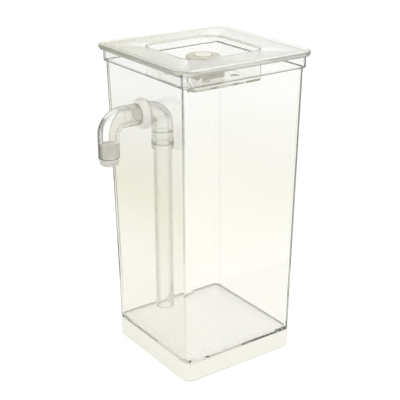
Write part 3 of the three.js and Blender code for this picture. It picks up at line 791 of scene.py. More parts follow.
@dataclass(frozen=True)
class Silicone:
    """Frosted translucent silicone."""

    name: str
    dark: Colour = (0.95, 0.94, 0.90)
    light: Colour = (0.99, 0.98, 0.95)
    clearness: float = 0.58
    index: float = 1.41
    roughness: float = 0.34
    unevenness: float = 0.18
    clouds: Cloud = Cloud(160.0, 3.0)
    skin: Cloud = Cloud(900.0, 3.0)
    skin_depth: float = 0.02

    def material(self) -> bpy.types.Material:
        """Builds the material.

        Returns:
            The material.
        """
        sheet = Surface(self.name)
        clouds = sheet.noise(self.clouds)
        sheet.set(
            Base_Color=sheet.blended(clouds, self.dark, self.light),
            Roughness=clouds * self.unevenness + self.roughness,
            IOR=self.index,
            Transmission_Weight=self.clearness,
        )
        sheet.bumped(sheet.noise(self.skin), self.skin_depth)
        return sheet.material


@dataclass(frozen=True)
class MouldedPlastic:
    """Opaque moulded plastic with a fine grain and slightly uneven colour.

    Where a deck colour is given, an attribute of the mesh says where it shows; the paler deck
    colour is painted light, standing in for light that reaches the deck through the clear tank.
    """

    name: str
    dark: Colour
    light: Colour
    roughness: float = 0.4
    unevenness: float = 0.12
    index: float = 1.46
    clouds: Cloud = Cloud(45.0, 4.0)
    sheen: Cloud = Cloud(300.0)
    grain: Cloud = Cloud(1600.0)
    grain_depth: float = 0.012
    deck: Colour | None = None

    def material(self) -> bpy.types.Material:
        """Builds the material.

        Returns:
            The material.
        """
        sheet = Surface(self.name)
        colour = sheet.blended(sheet.noise(self.clouds), self.dark, self.light)
        if self.deck:
            colour = sheet.blended(sheet.attribute("covered"), colour, self.deck)
        sheet.set(
            Base_Color=colour,
            Roughness=(sheet.noise(self.sheen) - 0.5) * self.unevenness + self.roughness,
            IOR=self.index,
        )
        sheet.bumped(sheet.noise(self.grain), self.grain_depth)
        return sheet.material


@dataclass(frozen=True)
class BrightSteel:
    """Drawn bright steel with fine streaks."""

    name: str
    dark: Colour = (0.60, 0.61, 0.62)
    light: Colour = (0.74, 0.75, 0.75)
    roughness: float = 0.18
    unevenness: float = 0.2
    streaks: Cloud = Cloud(500.0, 2.0, (1, 14, 1))
    streak_depth: float = 0.004

    def material(self) -> bpy.types.Material:
        """Builds the material.

        Returns:
            The material.
        """
        sheet = Surface(self.name)
        streaks = sheet.noise(self.streaks)
        sheet.set(
            Base_Color=sheet.blended(streaks, self.dark, self.light),
            Metallic=1.0,
            Roughness=streaks * self.unevenness + self.roughness,
        )
        sheet.bumped(streaks, self.streak_depth)
        return sheet.material


@dataclass(frozen=True)
class CircuitBoard:
    """Green board lacquer over copper tracks."""

    name: str
    lacquer: Colour = (0.05, 0.22, 0.10)
    over_copper: Colour = (0.16, 0.36, 0.15)
    roughness: float = 0.3
    unevenness: float = 0.1
    track_scale: float = 330.0
    track_width: float = 0.06
    track_offset: float = 0.37
    track_squash: float = 1.6
    track_depth: float = 0.03

    def material(self) -> bpy.types.Material:
        """Builds the material.

        Returns:
            The material.
        """
        sheet = Surface(self.name)
        inputs = {"Vector": sheet.place, "Scale": self.track_scale, "Mortar Size": self.track_width}
        inputs |= {"Color1": (0, 0, 0, 1), "Color2": (0, 0, 0, 1), "Mortar": (1, 1, 1, 1)}
        layout = {"offset": self.track_offset, "squash": self.track_squash}
        tracks = sheet.node("ShaderNodeTexBrick", layout, inputs, "Fac")
        sheet.set(
            Base_Color=sheet.blended(tracks, self.lacquer, self.over_copper),
            Roughness=tracks * self.unevenness + self.roughness,
        )
        sheet.bumped(tracks, self.track_depth)
        return sheet.material


class Finish(Enum):
    """The finishes of the tank's pieces."""

    CLEAR = ClearPlastic(
        "clear wall plastic",
        # The tone browns and darkens the walls most at mid height: painted shade over a tint.
        tint_and_shade_heights=(
            (0.34, (0.885, 0.878, 0.825)),
            (0.56, (0.796, 0.790, 0.682)),
            (0.66, (0.795, 0.790, 0.735)),
            (0.88, (0.880, 0.880, 0.872)),
        ),
    )
    # rim darkens every glancing view of the pipes and the lens with painted shade.
    PIPE = ClearPlastic("clear pipe plastic", edge=(0.56, 0.54, 0.44), density=30.0, rim=0.8)
    LID = ClearPlastic(
        "lid plastic",
        edge=(0.56, 0.56, 0.42),
        density=16.0,
        frosted=0.16,
        # The tone is painted shade on the plate, growing towards one corner.
        tone=(0.70, 0.69, 0.56),
    )
    WET_RING = ClearPlastic("wet ring seal", density=20.0, roughness=0.1, index=1.04)
    SILICONE = Silicone("frosted silicone")
    PLUG = Silicone("plug silicone", (0.82, 0.81, 0.77), (0.88, 0.87, 0.83), 0.55)
    RESIN = Silicone("diode resin", (0.88, 0.87, 0.76), (0.93, 0.92, 0.83), 0.6)
    WHITE = MouldedPlastic(
        "white plinth",
        (0.845, 0.84, 0.765),
        (0.88, 0.875, 0.81),
        roughness=0.38,
        # The paler deck colour is painted light on the plinth's top under the clear tank.
        deck=(0.985, 0.983, 0.985),
    )
    RUBBER = MouldedPlastic(
        "gasket rubber", (0.035, 0.035, 0.033), (0.06, 0.06, 0.057), 0.75, grain_depth=0.03
    )
    LAMP = MouldedPlastic("lamp plastic", (0.55, 0.53, 0.44), (0.61, 0.59, 0.50), 0.42)
    BUTTON = MouldedPlastic("button plastic", (0.74, 0.73, 0.61), (0.80, 0.79, 0.68), 0.22)
    DRAWER = MouldedPlastic("drawer plastic", (0.33, 0.305, 0.235), (0.38, 0.355, 0.285), 0.45)
    BLACK = MouldedPlastic("switch plastic", (0.012, 0.012, 0.012), (0.03, 0.03, 0.03), 0.5)
    STEEL = BrightSteel("bright steel")
    BOARD = CircuitBoard("board lacquer")

    @cached_property
    def material(self) -> bpy.types.Material:
        """The finish's material, built once."""
        return self.value.material()


# Pieces


def dress(
    name: str, shell: Shell, finish: Finish, body: Body, slot: Slot, *nodes: str
) -> bpy.types.Object:
    """Turns a shell into a finished piece that rides on a body and stands for its nodes.

    Args:
        name: The piece's name.
        shell: Its shape.
        finish: Its finish.
        body: What it rides on.
        slot: The record's slot for its finish. It is not used.
        nodes: The nodes that it stands for.

    Returns:
        The piece.
    """
    mesh = shell.mesh
    mesh.name = name
    mesh.materials.clear()
    mesh.materials.append(finish.material)
    mesh.polygons.foreach_set("material_index", [0] * len(mesh.polygons))
    mesh.shade_smooth()
    mesh.set_sharp_from_angle(angle=SHARP_ANGLE)
    mesh.update()
    piece = added(name, mesh)
    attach(piece, body.value)
    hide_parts(*nodes)
    LOG.info("%s: %d faces on %s", name, len(mesh.polygons), body.value)
    return piece


def mark(piece: bpy.types.Object, name: str, amount: Callable[[Point], float]) -> None:
    """Gives a piece an attribute for its material.

    Args:
        piece: The piece.
        name: The attribute's name.
        amount: Gives the attribute from a point's place in millimetres.
    """
    points = [tuple(value / MM for value in vertex.co) for vertex in piece.data.vertices]
    values = [amount(point) for point in points]
    piece.data.attributes.new(name, "FLOAT", "POINT").data.foreach_set("value", values)


@dataclass
class Tank:
    """The clear tank and the plinth under it.

    Up the corners the plastic is darkened with painted shade from clear_height up, side_shade times
    as much on the -X +Y corner at the left of the view, and a line of painted shade runs under the
    rim band. The walls take a brown tone by wall_tone, and by 1 on the spout's side, which starts
    side_margin in from its corners. The tone is a tint, and its extra on the spout's side and its
    change with height are painted shade.
    """

    plinth_height: float = 14.8
    plinth_side: float = 100.6
    plinth_corner: float = 7.0
    plinth_wall: float = 2.2
    plinth_deck: float = 2.0
    plinth_edge: float = 1.4
    land_side: float = 80.0
    land_corner: float = 5.0
    land_height: float = 1.0
    rib: float = 2.0
    ribs: int = 4
    hub_radius: float = 8.0
    bottom_side: float = 98.6
    bottom_corner: float = 4.5
    top_side: float = 105.0
    top_corner: float = 4.0
    wall_height: float = 212.2
    wall: float = 2.2
    floor: float = 2.6
    edge: float = 0.3
    fillet: float = 0.25
    foot_corner: float = 3.8
    rim_side: float = 108.0
    rim_corner: float = 4.0
    rim_height: float = 10.6
    rim_edge: float = 1.3
    rim_top_edge: float = 0.3
    clear_height: float = 120.0
    side_shade: float = 4.0
    wall_tone: float = 0.4
    side_margin: float = 1.7
    siphon_drop: float = 38.8
    hole_radius: float = 8.4
    hole_reach: float = 6.0

    @property
    def rim_bottom(self) -> float:
        """Level of the rim band's lower edge."""
        return self.plinth_height + self.wall_height

    @property
    def rim_top(self) -> float:
        """Level of the tank's top."""
        return self.rim_bottom + self.rim_height

    @property
    def siphon_height(self) -> float:
        """Level of the hole in the wall."""
        return self.rim_top - self.siphon_drop

    @property
    def wall_face(self) -> float:
        """Distance from the tank's axis to the wall's outer face at the hole."""
        share = (self.siphon_height - self.plinth_height) / self.wall_height
        return (self.bottom_side + (self.top_side - self.bottom_side) * share) / 2

    def body_shell(self) -> Shell:
        """Makes the tank, with the hole for the siphon.

        Returns:
            The tank's shell.
        """
        base = self.plinth_height + SEAT
        recess = self.land_side + 2 * FIT_GAP
        inner_bottom = self.bottom_side - 2 * self.wall
        inner_top = self.top_side - 2 * self.wall
        inner_rim = self.rim_side - 2 * self.wall
        inner_corner = self.rim_corner - self.wall
        ledge = self.rim_bottom + self.rim_edge
        shell = Shell([
            square_ring(recess, self.land_corner + FIT_GAP, base + self.land_height),
            square_ring(recess, self.land_corner + FIT_GAP, base),
            *rounding(self.bottom_side, self.bottom_corner, base, self.edge, 1, True),
            square_ring(self.top_side, self.top_corner, self.rim_bottom),
            *rounding(self.rim_side, self.rim_corner, self.rim_bottom, self.rim_edge, 1, True),
            *rounding(self.rim_side, self.rim_corner, self.rim_top, self.rim_top_edge, -1, False),
            *mouth_rounding(inner_rim, inner_corner, self.rim_top, self.rim_top_edge),
            square_ring(inner_rim, inner_corner, ledge),
            square_ring(inner_top, inner_corner, ledge - FIT_GAP),
            *rounding(inner_bottom, self.foot_corner, base + self.floor, self.fillet, 1, False),
        ])
        low, high = self.wall_face - self.hole_reach, self.wall_face + self.hole_reach
        bore = rod(self.hole_radius, low, high).laid().moved(0, 0, self.siphon_height)
        return combined(shell, [bore], "DIFFERENCE")

    def painted_edge_shade(self, point: Point) -> float:
        """Says how much painted shade a point of the tank takes at a glancing view.

        Args:
            point: The point.

        Returns:
            0 on flat walls and 1 under the rim band. Up the corners it rises from 0 to 1 at the
            top, and to side_shade on the corner at the left of the view.
        """
        painted_shade = self.side_shade if point[0] < 0 < point[1] else 1.0
        x, y, z = abs(point[0]), abs(point[1]), point[2]
        if z > self.rim_bottom + self.rim_edge:
            side, corner = self.rim_side, self.rim_corner
        else:
            share = max(z - self.plinth_height, 0) / self.wall_height
            side = self.bottom_side + (self.top_side - self.bottom_side) * share
            corner = self.bottom_corner + (self.top_corner - self.bottom_corner) * share
        centre = side / 2 - corner
        outer = math.hypot(max(x - centre, 0), max(y - centre, 0)) > corner - self.wall / 2
        if -HOLD / 2 < z - self.rim_bottom < self.rim_edge + HOLD / 2 and outer:
            return 1.0
        if min(x, y) > centre:
            return painted_shade * max(z - self.clear_height, 0) / (self.rim_top - self.clear_height)
        return 0.0

    def tint_and_painted_shade(self, point: Point) -> float:
        """Says how much tone a point of the tank takes: a tint, with painted shade added on the
        spout's side.

        Args:
            point: The point.

        Returns:
            0 on the floor, 1 on the spout's side, and wall_tone on the other walls.
        """
        x, y, z = point
        base = self.plinth_height + SEAT
        outer = max(abs(x), abs(y)) > self.bottom_side / 2 - self.wall and z > base + HOLD
        if not outer and z < base + self.floor + HOLD / 2:
            return 0.0
        return 1.0 if -x - abs(y) > self.side_margin else self.wall_tone

    def plinth_shell(self, rows: CopyRow) -> Shell:
        """Makes the plinth: an open cap with a land on its deck, and ribs that meet at a hub.

        Args:
            rows: The tree that sets copies in a row.

        Returns:
            The plinth's shell.
        """
        inner_foot = self.plinth_side - 2 * self.plinth_wall
        inner_top = self.bottom_side - 2 * self.plinth_wall
        deck = self.plinth_height
        ceiling = deck - self.plinth_deck
        cap = Shell([
            square_ring(inner_top, self.bottom_corner, ceiling),
            square_ring(inner_foot, self.plinth_corner - self.plinth_wall, 0),
            *rounding(self.plinth_side, self.plinth_corner, 0, self.plinth_edge, 1, True),
            *rounding(self.bottom_side, self.bottom_corner, deck, self.edge, -1, False),
            square_ring(self.land_side, self.land_corner, deck),
            square_ring(self.land_side, self.land_corner, deck + self.land_height),
        ])
        top = ceiling + self.plinth_deck / 2
        reach = inner_top / 2 + self.plinth_wall / 2
        rib = block((self.hub_radius / 2, -self.rib / 2, 0), (reach, self.rib / 2, top))
        turn = 2 * math.pi / self.ribs
        ribs = rows.copies(rib, Finish.WHITE, self.ribs, (0, 0, 0), turn=turn)
        return combined(cap, [ribs, rod(self.hub_radius, 0, top)], "UNION")

    def build(self, rows: CopyRow) -> None:
        """Makes and dresses the tank and the plinth.

        Args:
            rows: The tree that sets copies in a row.
        """
        body, plinth = self.body_shell(), self.plinth_shell(rows)
        piece = dress("clear_tank", body, Finish.CLEAR, Body.TANK, Slot.CLEAR, "tank_body")
        # The edge attribute gives painted shade up the corners and under the rim band.
        mark(piece, "edge", self.painted_edge_shade)
        mark(piece, "wall", self.tint_and_painted_shade)
        piece = dress("white_plinth", plinth, Finish.WHITE, Body.TANK, Slot.WHITE, "base_plinth")
        # Painted light: the plinth's top takes the paler deck colour.
        mark(piece, "covered", lambda point: float(point[2] > self.plinth_height - HOLD / 2))


@dataclass
class Lid:
    """The lid with its well. Drains and the lip's turn are placed by shares of what they are in."""

    tank: Tank
    side: float = 117.0
    corner: float = 11.5
    plate: float = 2.4
    edge: float = 1.2
    lip_drop: float = 2.1
    lip_foot: float = 1.2
    lip_turn_shares: tuple[float, float] = (0.7, 0.4)
    well_side: float = 66.0
    well_corner: float = 14.0
    foot_side: float = 61.0
    foot_corner: float = 3.5
    well_depth: float = 23.4
    well_wall: float = 1.6
    well_floor: float = 1.6
    well_edge: float = 0.9
    well_fillet: float = 1.2
    mouth_edge: float = 0.4
    # lip_shade and foot_shade are painted shade, on the lip and round the well's foot.
    lip_shade: float = 0.65
    foot_shade: float = 0.5
    lip_satin: float = 1.7
    drain_radius: float = 4.0
    drain_shares: tuple[tuple[float, float], ...] = ((0.7, -0.36), (-0.62, 0.74))
    lens_hole: float = 3.3

    @property
    def top(self) -> float:
        """Level of the lid's top."""
        return self.tank.rim_top + self.plate

    @property
    def floor(self) -> float:
        """Level of the well's floor, which the lamp stands on."""
        return self.top - self.well_depth + self.well_floor

    def shell(self) -> Shell:
        """Makes the lid, with the drain holes and the hole for the lens.

        Returns:
            The lid's shell.
        """
        rim_top = self.tank.rim_top + SEAT
        underside = self.top - self.well_depth
        lip_inner = self.tank.rim_side + 2 * FIT_GAP
        lip_corner = self.tank.rim_corner + FIT_GAP
        lip_bottom = self.tank.rim_top - self.lip_drop
        lip_foot = lip_inner + 2 * self.lip_foot
        foot_corner = lip_corner + self.lip_foot
        edge_bottom = self.top - 2 * self.edge
        across, up = self.lip_turn_shares
        inner_foot = self.foot_side - 2 * self.well_wall
        inner_corner = self.foot_corner - self.well_wall
        outer_well = self.well_side + 2 * self.well_wall
        shell = Shell([
            *rounding(self.foot_side, self.foot_corner, underside, self.well_edge, 1, True),
            square_ring(outer_well, self.well_corner + self.well_wall, rim_top),
            square_ring(lip_inner, lip_corner, rim_top),
            square_ring(lip_inner, lip_corner, lip_bottom),
            square_ring(lip_foot, foot_corner, lip_bottom),
            square_ring(
                lip_foot + (self.side - lip_foot) * across,
                foot_corner + (self.corner - foot_corner) * across,
                lip_bottom + (edge_bottom - lip_bottom) * up,
            ),
            square_ring(self.side, self.corner, edge_bottom),
            *rounding(self.side, self.corner, self.top, self.edge, -1, False),
            *mouth_rounding(self.well_side, self.well_corner, self.top, self.mouth_edge),
            *rounding(inner_foot, inner_corner, self.floor - SEAT, self.well_fillet, 1, False),
        ])
        half = inner_foot / 2
        low, high = underside - OVERRUN, self.floor + OVERRUN
        holes = [
            rod(self.drain_radius, low, high).moved(across * half, along * half, 0)
            for across, along in self.drain_shares
        ]
        return combined(shell, [*holes, rod(self.lens_hole, low, high)], "DIFFERENCE")

    def satin(self, point: Point) -> float:
        """Says how satined a point of the lid is: the lip and the plate are, and the well isn't."""
        lip = max(abs(point[0]), abs(point[1])) > self.tank.rim_side / 2
        return self.lip_satin if lip else float(self.on_plate(point))

    def on_plate(self, point: Point) -> bool:
        """Says whether a point is on the lid's plate."""
        out = max(abs(point[0]), abs(point[1])) > self.well_side / 2 + self.mouth_edge - HOLD
        return out and point[2] > self.tank.rim_top

    def tint_and_painted_shade(self, point: Point) -> float:
        """Says how much tone a point of the lid takes: painted shade on its plate, growing towards
        one corner.
        """
        return max((point[1] - point[0]) / self.side, 0) * self.on_plate(point)

    def painted_edge_shade(self, point: Point) -> float:
        """Says how much painted shade a point of the lid takes at a glancing view.

        Args:
            point: The point.

        Returns:
            foot_shade round the well's foot, lip_shade on the lip, and 0 elsewhere.
        """
        out, z = max(abs(point[0]), abs(point[1])), point[2]
        lip = out > self.tank.rim_side / 2 + self.lip_foot and z < self.top - HOLD
        low = z < self.top - self.well_depth + self.well_edge + HOLD / 2
        foot = low and out > self.foot_side / 2 - self.well_edge - HOLD
        return self.foot_shade if foot else self.lip_shade * lip

    def build(self) -> None:
        """Makes and dresses the lid."""
        piece = dress("clear_lid", self.shell(), Finish.LID, Body.LID, Slot.LID, "lid")
        mark(piece, "frost", self.satin)
        mark(piece, "wall", self.tint_and_painted_shade)
        mark(piece, "edge", self.painted_edge_shade)


@dataclass
class Siphon:
    """The pipes through the wall, their seals and the stopper."""

    tank: Tank
    pipe_radius: float = 7.8
    bore: float = 4.93
    bend: float = 11.5
    spigot: float = 6.3
    spigot_reach: float = 8.0
    spout_reach: float = 29.4
    outlet_drop: float = 27.5
    inset: float = 14.7
    socket_drop: float = 28.7
    socket_depth: float = 13.2
    bead_radius: float = 8.2
    bead_length: float = 4.0
    bead_offset: float = 1.8
    tube_radius: float = 6.75
    tube_wall: float = 1.3
    tube_end: float = 41.5
    seal: float = 0.6
    neck: float = 8.1
    front: float = 10.3
    flange: float = 11.3
    flange_depth: float = 5.0
    flange_edge: float = 1.6
    front_chamfer: float = 0.6
    inner_flange: float = 9.5
    inner_flange_depth: float = 1.0
    head_radius: float = 7.05
    head_length: float = 5.4
    head_rounding: float = 2.6
    shank: float = 4.95
    shank_length: float = 11.5
    stopper_bore: float = 3.0
    stopper_bore_depth: float = 9.0
    grip_groove: float = 0.5
    grip_offset: float = 1.8
    lead: float = 0.6
    softness: float = 0.35
    edge_shade: float = 0.22

    @property
    def grommet_back(self) -> float:
        """Depth of the grommet's inner face behind the wall's outer face."""
        return self.tank.wall + FIT_GAP + self.inner_flange_depth

    @property
    def grommet_front(self) -> float:
        """How far the grommet stands out of the wall."""
        return FIT_GAP + self.flange_depth

    @property
    def tube_axis(self) -> float:
        """Place of the down tube's axis along X."""
        return -self.tank.wall_face + self.tank.wall + self.inset

    @property
    def outlet_axis(self) -> float:
        """Place of the outlet's axis along X."""
        return -self.tank.wall_face - self.spout_reach

    def outwards(self, shell: Shell) -> Shell:
        """Turns a body about +Z so that it lies in the wall and points out of the tank."""
        return shell.laid().moved(-self.tank.wall_face, 0, self.tank.siphon_height)

    def grommet(self) -> Shell:
        """Makes the grommet, with its profile running outwards from the wall's outer face.

        Returns:
            The grommet's shell.
        """
        bore = self.spigot + SEAL_GAP
        back = -self.tank.wall - FIT_GAP
        front = self.grommet_front
        corners = [
            (bore, 0), (bore, -self.grommet_back), (self.inner_flange, -self.grommet_back),
            (self.inner_flange, back), (self.neck, back), (self.neck, FIT_GAP),
            (self.flange, FIT_GAP), (self.flange, FIT_GAP + self.flange_edge),
            (self.front, front - self.front_chamfer), (self.front - self.front_chamfer, front),
            (bore, front), (bore, 0),
        ]
        return self.outwards(turned(softened(corners, self.softness)))

    def elbow(self, out: float, direction: int, run: float, drop: float) -> Elbow:
        """Sets out a pipe from a place out from the wall, inwards where its direction is 1."""
        start = (-self.tank.wall_face - out, 0, self.tank.siphon_height)
        return Elbow(start, direction, run - self.bend, self.bend, drop - self.bend)

    def inner_elbow(self) -> Shell:
        """Makes the elbow inside the tank, from the end of its spigot to its socket's mouth.

        Returns:
            The elbow's shell.
        """
        spigot_end = self.grommet_front + FIT_GAP + self.spigot_reach
        run = spigot_end + self.tank.wall + self.inset
        path = self.elbow(spigot_end, 1, run, self.socket_drop)
        end = path.length
        shoulder = spigot_end + self.grommet_back + FIT_GAP
        bead = end - self.bead_offset
        socket = self.tube_radius - BOND
        groove = self.tube_radius + self.seal + 2 * SEAL_GAP
        seal_low = bead - self.bead_length / 2 + self.seal / 2 + SEAL_GAP
        seal_high = seal_low - self.seal - 2 * SEAL_GAP
        depth = end - self.socket_depth
        corners = [
            (self.bore, shoulder), (self.bore, 0), (self.spigot, 0), (self.spigot, shoulder),
            (self.pipe_radius, shoulder), (self.pipe_radius, bead - self.bead_length),
            (self.bead_radius, bead - self.bead_length), (self.bead_radius, bead),
            (self.pipe_radius, bead), (self.pipe_radius, end), (socket, end), (socket, seal_low),
            (groove, seal_low), (groove, seal_high), (socket, seal_high), (socket, depth),
            (self.bore, depth), (self.bore, shoulder),
        ]
        return path.pipe(softened(corners, self.softness))

    def spout(self) -> Shell:
        """Makes the spout, from the mouth of its socket to its outlet.

        Returns:
            The spout's shell.
        """
        start = self.grommet_front + FIT_GAP
        path = self.elbow(start, -1, self.spout_reach - start, self.outlet_drop)
        end = path.length
        socket = self.spigot - BOND
        depth = self.spigot_reach - BOND
        corners = [
            (self.pipe_radius, end / 2), (self.pipe_radius, end), (self.bore, end),
            (self.bore, depth), (socket, depth), (socket, 0), (self.pipe_radius, 0),
            (self.pipe_radius, end / 2),
        ]
        return path.pipe(softened(corners, self.softness))

    def tube(self) -> Shell:
        """Makes the down tube.

        Returns:
            The tube's shell.
        """
        top = self.tank.siphon_height - self.socket_drop + self.socket_depth - FIT_GAP
        inner = self.tube_radius - self.tube_wall
        middle = (self.tube_end + top) / 2
        corners = [(inner, middle), (inner, self.tube_end), (self.tube_radius, self.tube_end),
                   (self.tube_radius, top), (inner, top), (inner, middle)]
        return turned(softened(corners, self.softness)).moved(self.tube_axis, 0, 0)

    def ring_seal(self, inner: float) -> Shell:
        """Makes a ring seal about +Z with a round section.

        Args:
            inner: The ring's inner radius.

        Returns:
            The ring's shell.
        """
        half = self.seal / 2
        ways = [(1 + math.cos(turn), math.sin(turn)) for turn in turns(SECTION_STEPS)]
        section = [(inner + half * across, half * up) for across, up in ways]
        return turned([*section, section[0]])

    def stopper(self) -> Shell:
        """Makes the stopper, with a grip groove round its head and a hollow shank above.

        Returns:
            The stopper's shell.
        """
        top = -FIT_GAP
        bottom = top - self.head_length
        groove = top - self.grip_offset
        blind = self.shank_length - self.stopper_bore_depth
        crown = quarter(self.head_radius, bottom, self.head_rounding, self.head_rounding)
        corners = [
            crown[-1], (self.head_radius, groove - self.grip_groove),
            (self.head_radius - self.grip_groove, groove),
            (self.head_radius, groove + self.grip_groove), (self.head_radius, top),
            (self.shank, top), (self.shank, self.shank_length - self.lead),
            (self.shank - self.lead, self.shank_length), (self.stopper_bore, self.shank_length),
            (self.stopper_bore, blind), (0, blind),
        ]
        shell = turned([(0, bottom), *crown[:-1], *softened(corners, self.softness)])
        return shell.moved(self.outlet_axis, 0, self.tank.siphon_height - self.outlet_drop)

    def build(self) -> None:
        """Makes and dresses the pipes, the seals and the stopper."""
        pipe, soft = Finish.PIPE, Finish.SILICONE
        level = self.tank.siphon_height - self.socket_drop + self.bead_offset + self.bead_length / 2
        out = self.grommet_front + FIT_GAP + self.spigot_reach / 2
        tube_ring = self.ring_seal(self.tube_radius + SEAL_GAP).moved(self.tube_axis, 0, level)
        spigot_ring = self.outwards(self.ring_seal(self.spigot + SEAL_GAP).moved(0, 0, out))
        tank, clear, silicone = Body.TANK, Slot.CLEAR, Slot.SILICONE
        dress("soft_grommet", self.grommet(), soft, tank, silicone, "wall_grommet")
        elbow = dress("clear_inner_elbow", self.inner_elbow(), pipe, tank, clear, "inner_elbow")
        spout = dress("clear_spout", self.spout(), pipe, Body.SPOUT, clear, "spout_elbow")
        tube = dress("clear_down_tube", self.tube(), pipe, Body.INTAKE, clear, "intake_tube")
        dress("tube_ring", tube_ring, soft, tank, silicone, "intake_seal")
        dress("spigot_ring", spigot_ring, Finish.WET_RING, Body.SPOUT, silicone, "spout_seal")
        plug = self.stopper()
        dress("soft_stopper", plug, Finish.PLUG, Body.STOPPER, silicone, "drain_stopper")
        # Painted shade at glancing views: on the spout's outer side, and by edge_shade on elbow and
        # tube.
        mark(spout, "edge", lambda point: float(point[0] < self.outlet_axis - self.bore / 2))
        for piece in (elbow, tube):
            mark(piece, "edge", lambda point: self.edge_shade)


@dataclass
class Lamp:
    """The lamp in the well, its button, drawer and lens. Heights are from the well's floor."""

    lid: Lid
    radius: float = 12.75
    height: float = 15.4
    wall: float = 1.5
    cap: float = 1.8
    edge: float = 0.8
    edge_margin: float = 0.2
    seam_height: float = 5.0
    spigot: float = 3.0
    spigot_reach: float = 2.2
    gasket: float = 0.6
    lens: float = 4.0
    lens_end: float = 1.6
    lens_dome: float = 1.2
    button: float = 6.5
    button_proud: float = 0.8
    button_edge: float = 0.5
    button_dish: float = 0.18
    dish_shares: tuple[float, ...] = (0.95, 0.85, 0.7, 0.5, 0.25, 0)
    button_wall: float = 1.2
    button_lip: float = 0.7
    button_lip_height: float = 1.0
    stem: float = 1.4
    stem_end: float = 8.2
    drawer_half: float = 11.0
    drawer_front: float = 10.4
    drawer_back: float = 2.2
    drawer_height: float = 4.4
    drawer_floor: float = 0.6
    drawer_edge: float = 0.35
    drawer_corner_share: float = 0.16
    pocket: float = 3.6
    cell: float = 3.4
    cell_height: float = 2.6
    cell_bottom: float = 1.1
    cell_spacing: float = 9.2
    cell_offset: float = 6.2
    cell_shoulder: float = 0.45
    cell_step: float = 0.5
    bridge_length: float = 12.0
    bridge_width: float = 3.0
    bridge_gap: float = 0.2
    notch: float = 2.4
    softness: float = 0.25

    def at_floor(self, shell: Shell) -> Shell:
        """Lifts a shell from the lamp's own level to the well's floor."""
        return shell.moved(0, 0, self.lid.floor)

    def softly(self, corners: Profile) -> Profile:
        """Rounds every corner of a profile by the lamp's own small radius."""
        return softened(corners, self.softness)

    def drawer_space(self) -> Shell:
        """Gives the room for the drawer, all of the lamp's near side up to its top.

        Returns:
            The cutter.
        """
        reach = self.radius + OVERRUN
        top = FIT_GAP + self.drawer_height + FIT_GAP
        return block((-reach, -2 * reach, -OVERRUN), (reach, FIT_GAP - self.drawer_back, top))

    def housing(self) -> Shell:
        """Makes the housing's cup, open for the drawer at its foot.

        Returns:
            The housing's shell.
        """
        mouth = self.button + FIT_GAP
        inner = self.radius - self.wall
        ceiling = self.height - self.cap
        seam = (inner, self.seam_height)
        side_top = (self.radius, self.height - self.edge - self.edge_margin)
        edge = quarter(self.radius, self.height, self.edge, -self.edge)[::-1]
        foot = self.softly([seam, (inner, 0), (self.radius, 0), side_top])
        crown = [edge[-1], (mouth, self.height), (mouth, ceiling), (inner, ceiling), seam]
        cup = turned([*foot, *edge, *self.softly(crown)[1:]])
        return self.at_floor(combined(cup, [self.drawer_space()], "DIFFERENCE"))

    def button_cap(self) -> Shell:
        """Makes the button, with a slightly dished top.

        Returns:
            The button's shell.
        """
        top = self.height + self.button_proud
        lip_top = self.height - self.cap - FIT_GAP
        lip_bottom = lip_top - self.button_lip_height
        under = top - self.button_wall
        inner, lip = self.button - self.button_wall, self.button + self.button_lip
        corners = [
            (0, self.stem_end), (self.stem, self.stem_end), (self.stem, under), (inner, under),
            (inner, lip_bottom), (lip, lip_bottom), (lip, lip_top), (self.button, lip_top),
            (self.button, top - self.button_edge),
        ]
        edge = quarter(self.button, top, self.button_edge, -self.button_edge)[::-1]
        rim = self.button - self.button_edge
        dish = [
            (rim * share, top - self.button_dish * (1 - share**2)) for share in self.dish_shares
        ]
        return self.at_floor(turned([*self.softly(corners), *edge[1:], *dish]))

    def drawer(self) -> Shell:
        """Makes the battery drawer, with a pocket for each cell and notches for the contacts.

        Returns:
            The drawer's shell.
        """
        low, high = FIT_GAP, FIT_GAP + self.drawer_height
        half = (self.drawer_front - self.drawer_back) / 2
        middle = (self.drawer_front + self.drawer_back) / 2
        rings = []
        for level, inset in (
            (low, self.drawer_edge),
            (low + self.drawer_edge, 0),
            (high - self.drawer_edge, 0),
            (high, self.drawer_edge),
        ):
            shrink = 1 - inset / (2 * half)
            across, along = (self.drawer_half - inset) / shrink, (half - inset) / shrink
            ring = square_ring(2 * shrink, self.drawer_corner_share, level)
            rings.append([(x * across, y * along - middle, z) for x, y, z in ring])
        floor, top = FIT_GAP + self.drawer_floor, high + OVERRUN
        cell_top = self.cell_bottom + self.cell_height
        near, notch = -self.cell_offset, self.notch / 2
        cuts = []
        for x in (-self.cell_spacing / 2, self.cell_spacing / 2):
            cuts.append(rod(self.pocket, floor, top).moved(x, near, 0))
            cuts.append(block((x - notch, near, cell_top), (x + notch, 0, top)))
        reach = self.bridge_length / 2 + self.bridge_gap
        width = self.bridge_width / 2 + self.bridge_gap
        cuts.append(block((-reach, near - width, floor), (reach, near + width, cell_top)))
        return self.at_floor(combined(Shell(rings), cuts, "DIFFERENCE"))

    def lens_cap(self) -> Shell:
        """Makes the lens, a clear cap on the spigot's end.

        Returns:
            The lens's shell.
        """
        bottom = -self.lid.well_floor - self.spigot_reach - FIT_GAP
        top = -self.lid.well_floor - self.gasket
        bore = self.spigot + FIT_GAP
        dome = quarter(self.lens, bottom - self.lens_end, self.lens, self.lens_dome)
        corners = [dome[-1], (self.lens, top), (bore, top), (bore, bottom), (0, bottom)]
        return self.at_floor(turned([*dome[:-1], *self.softly(corners)]))

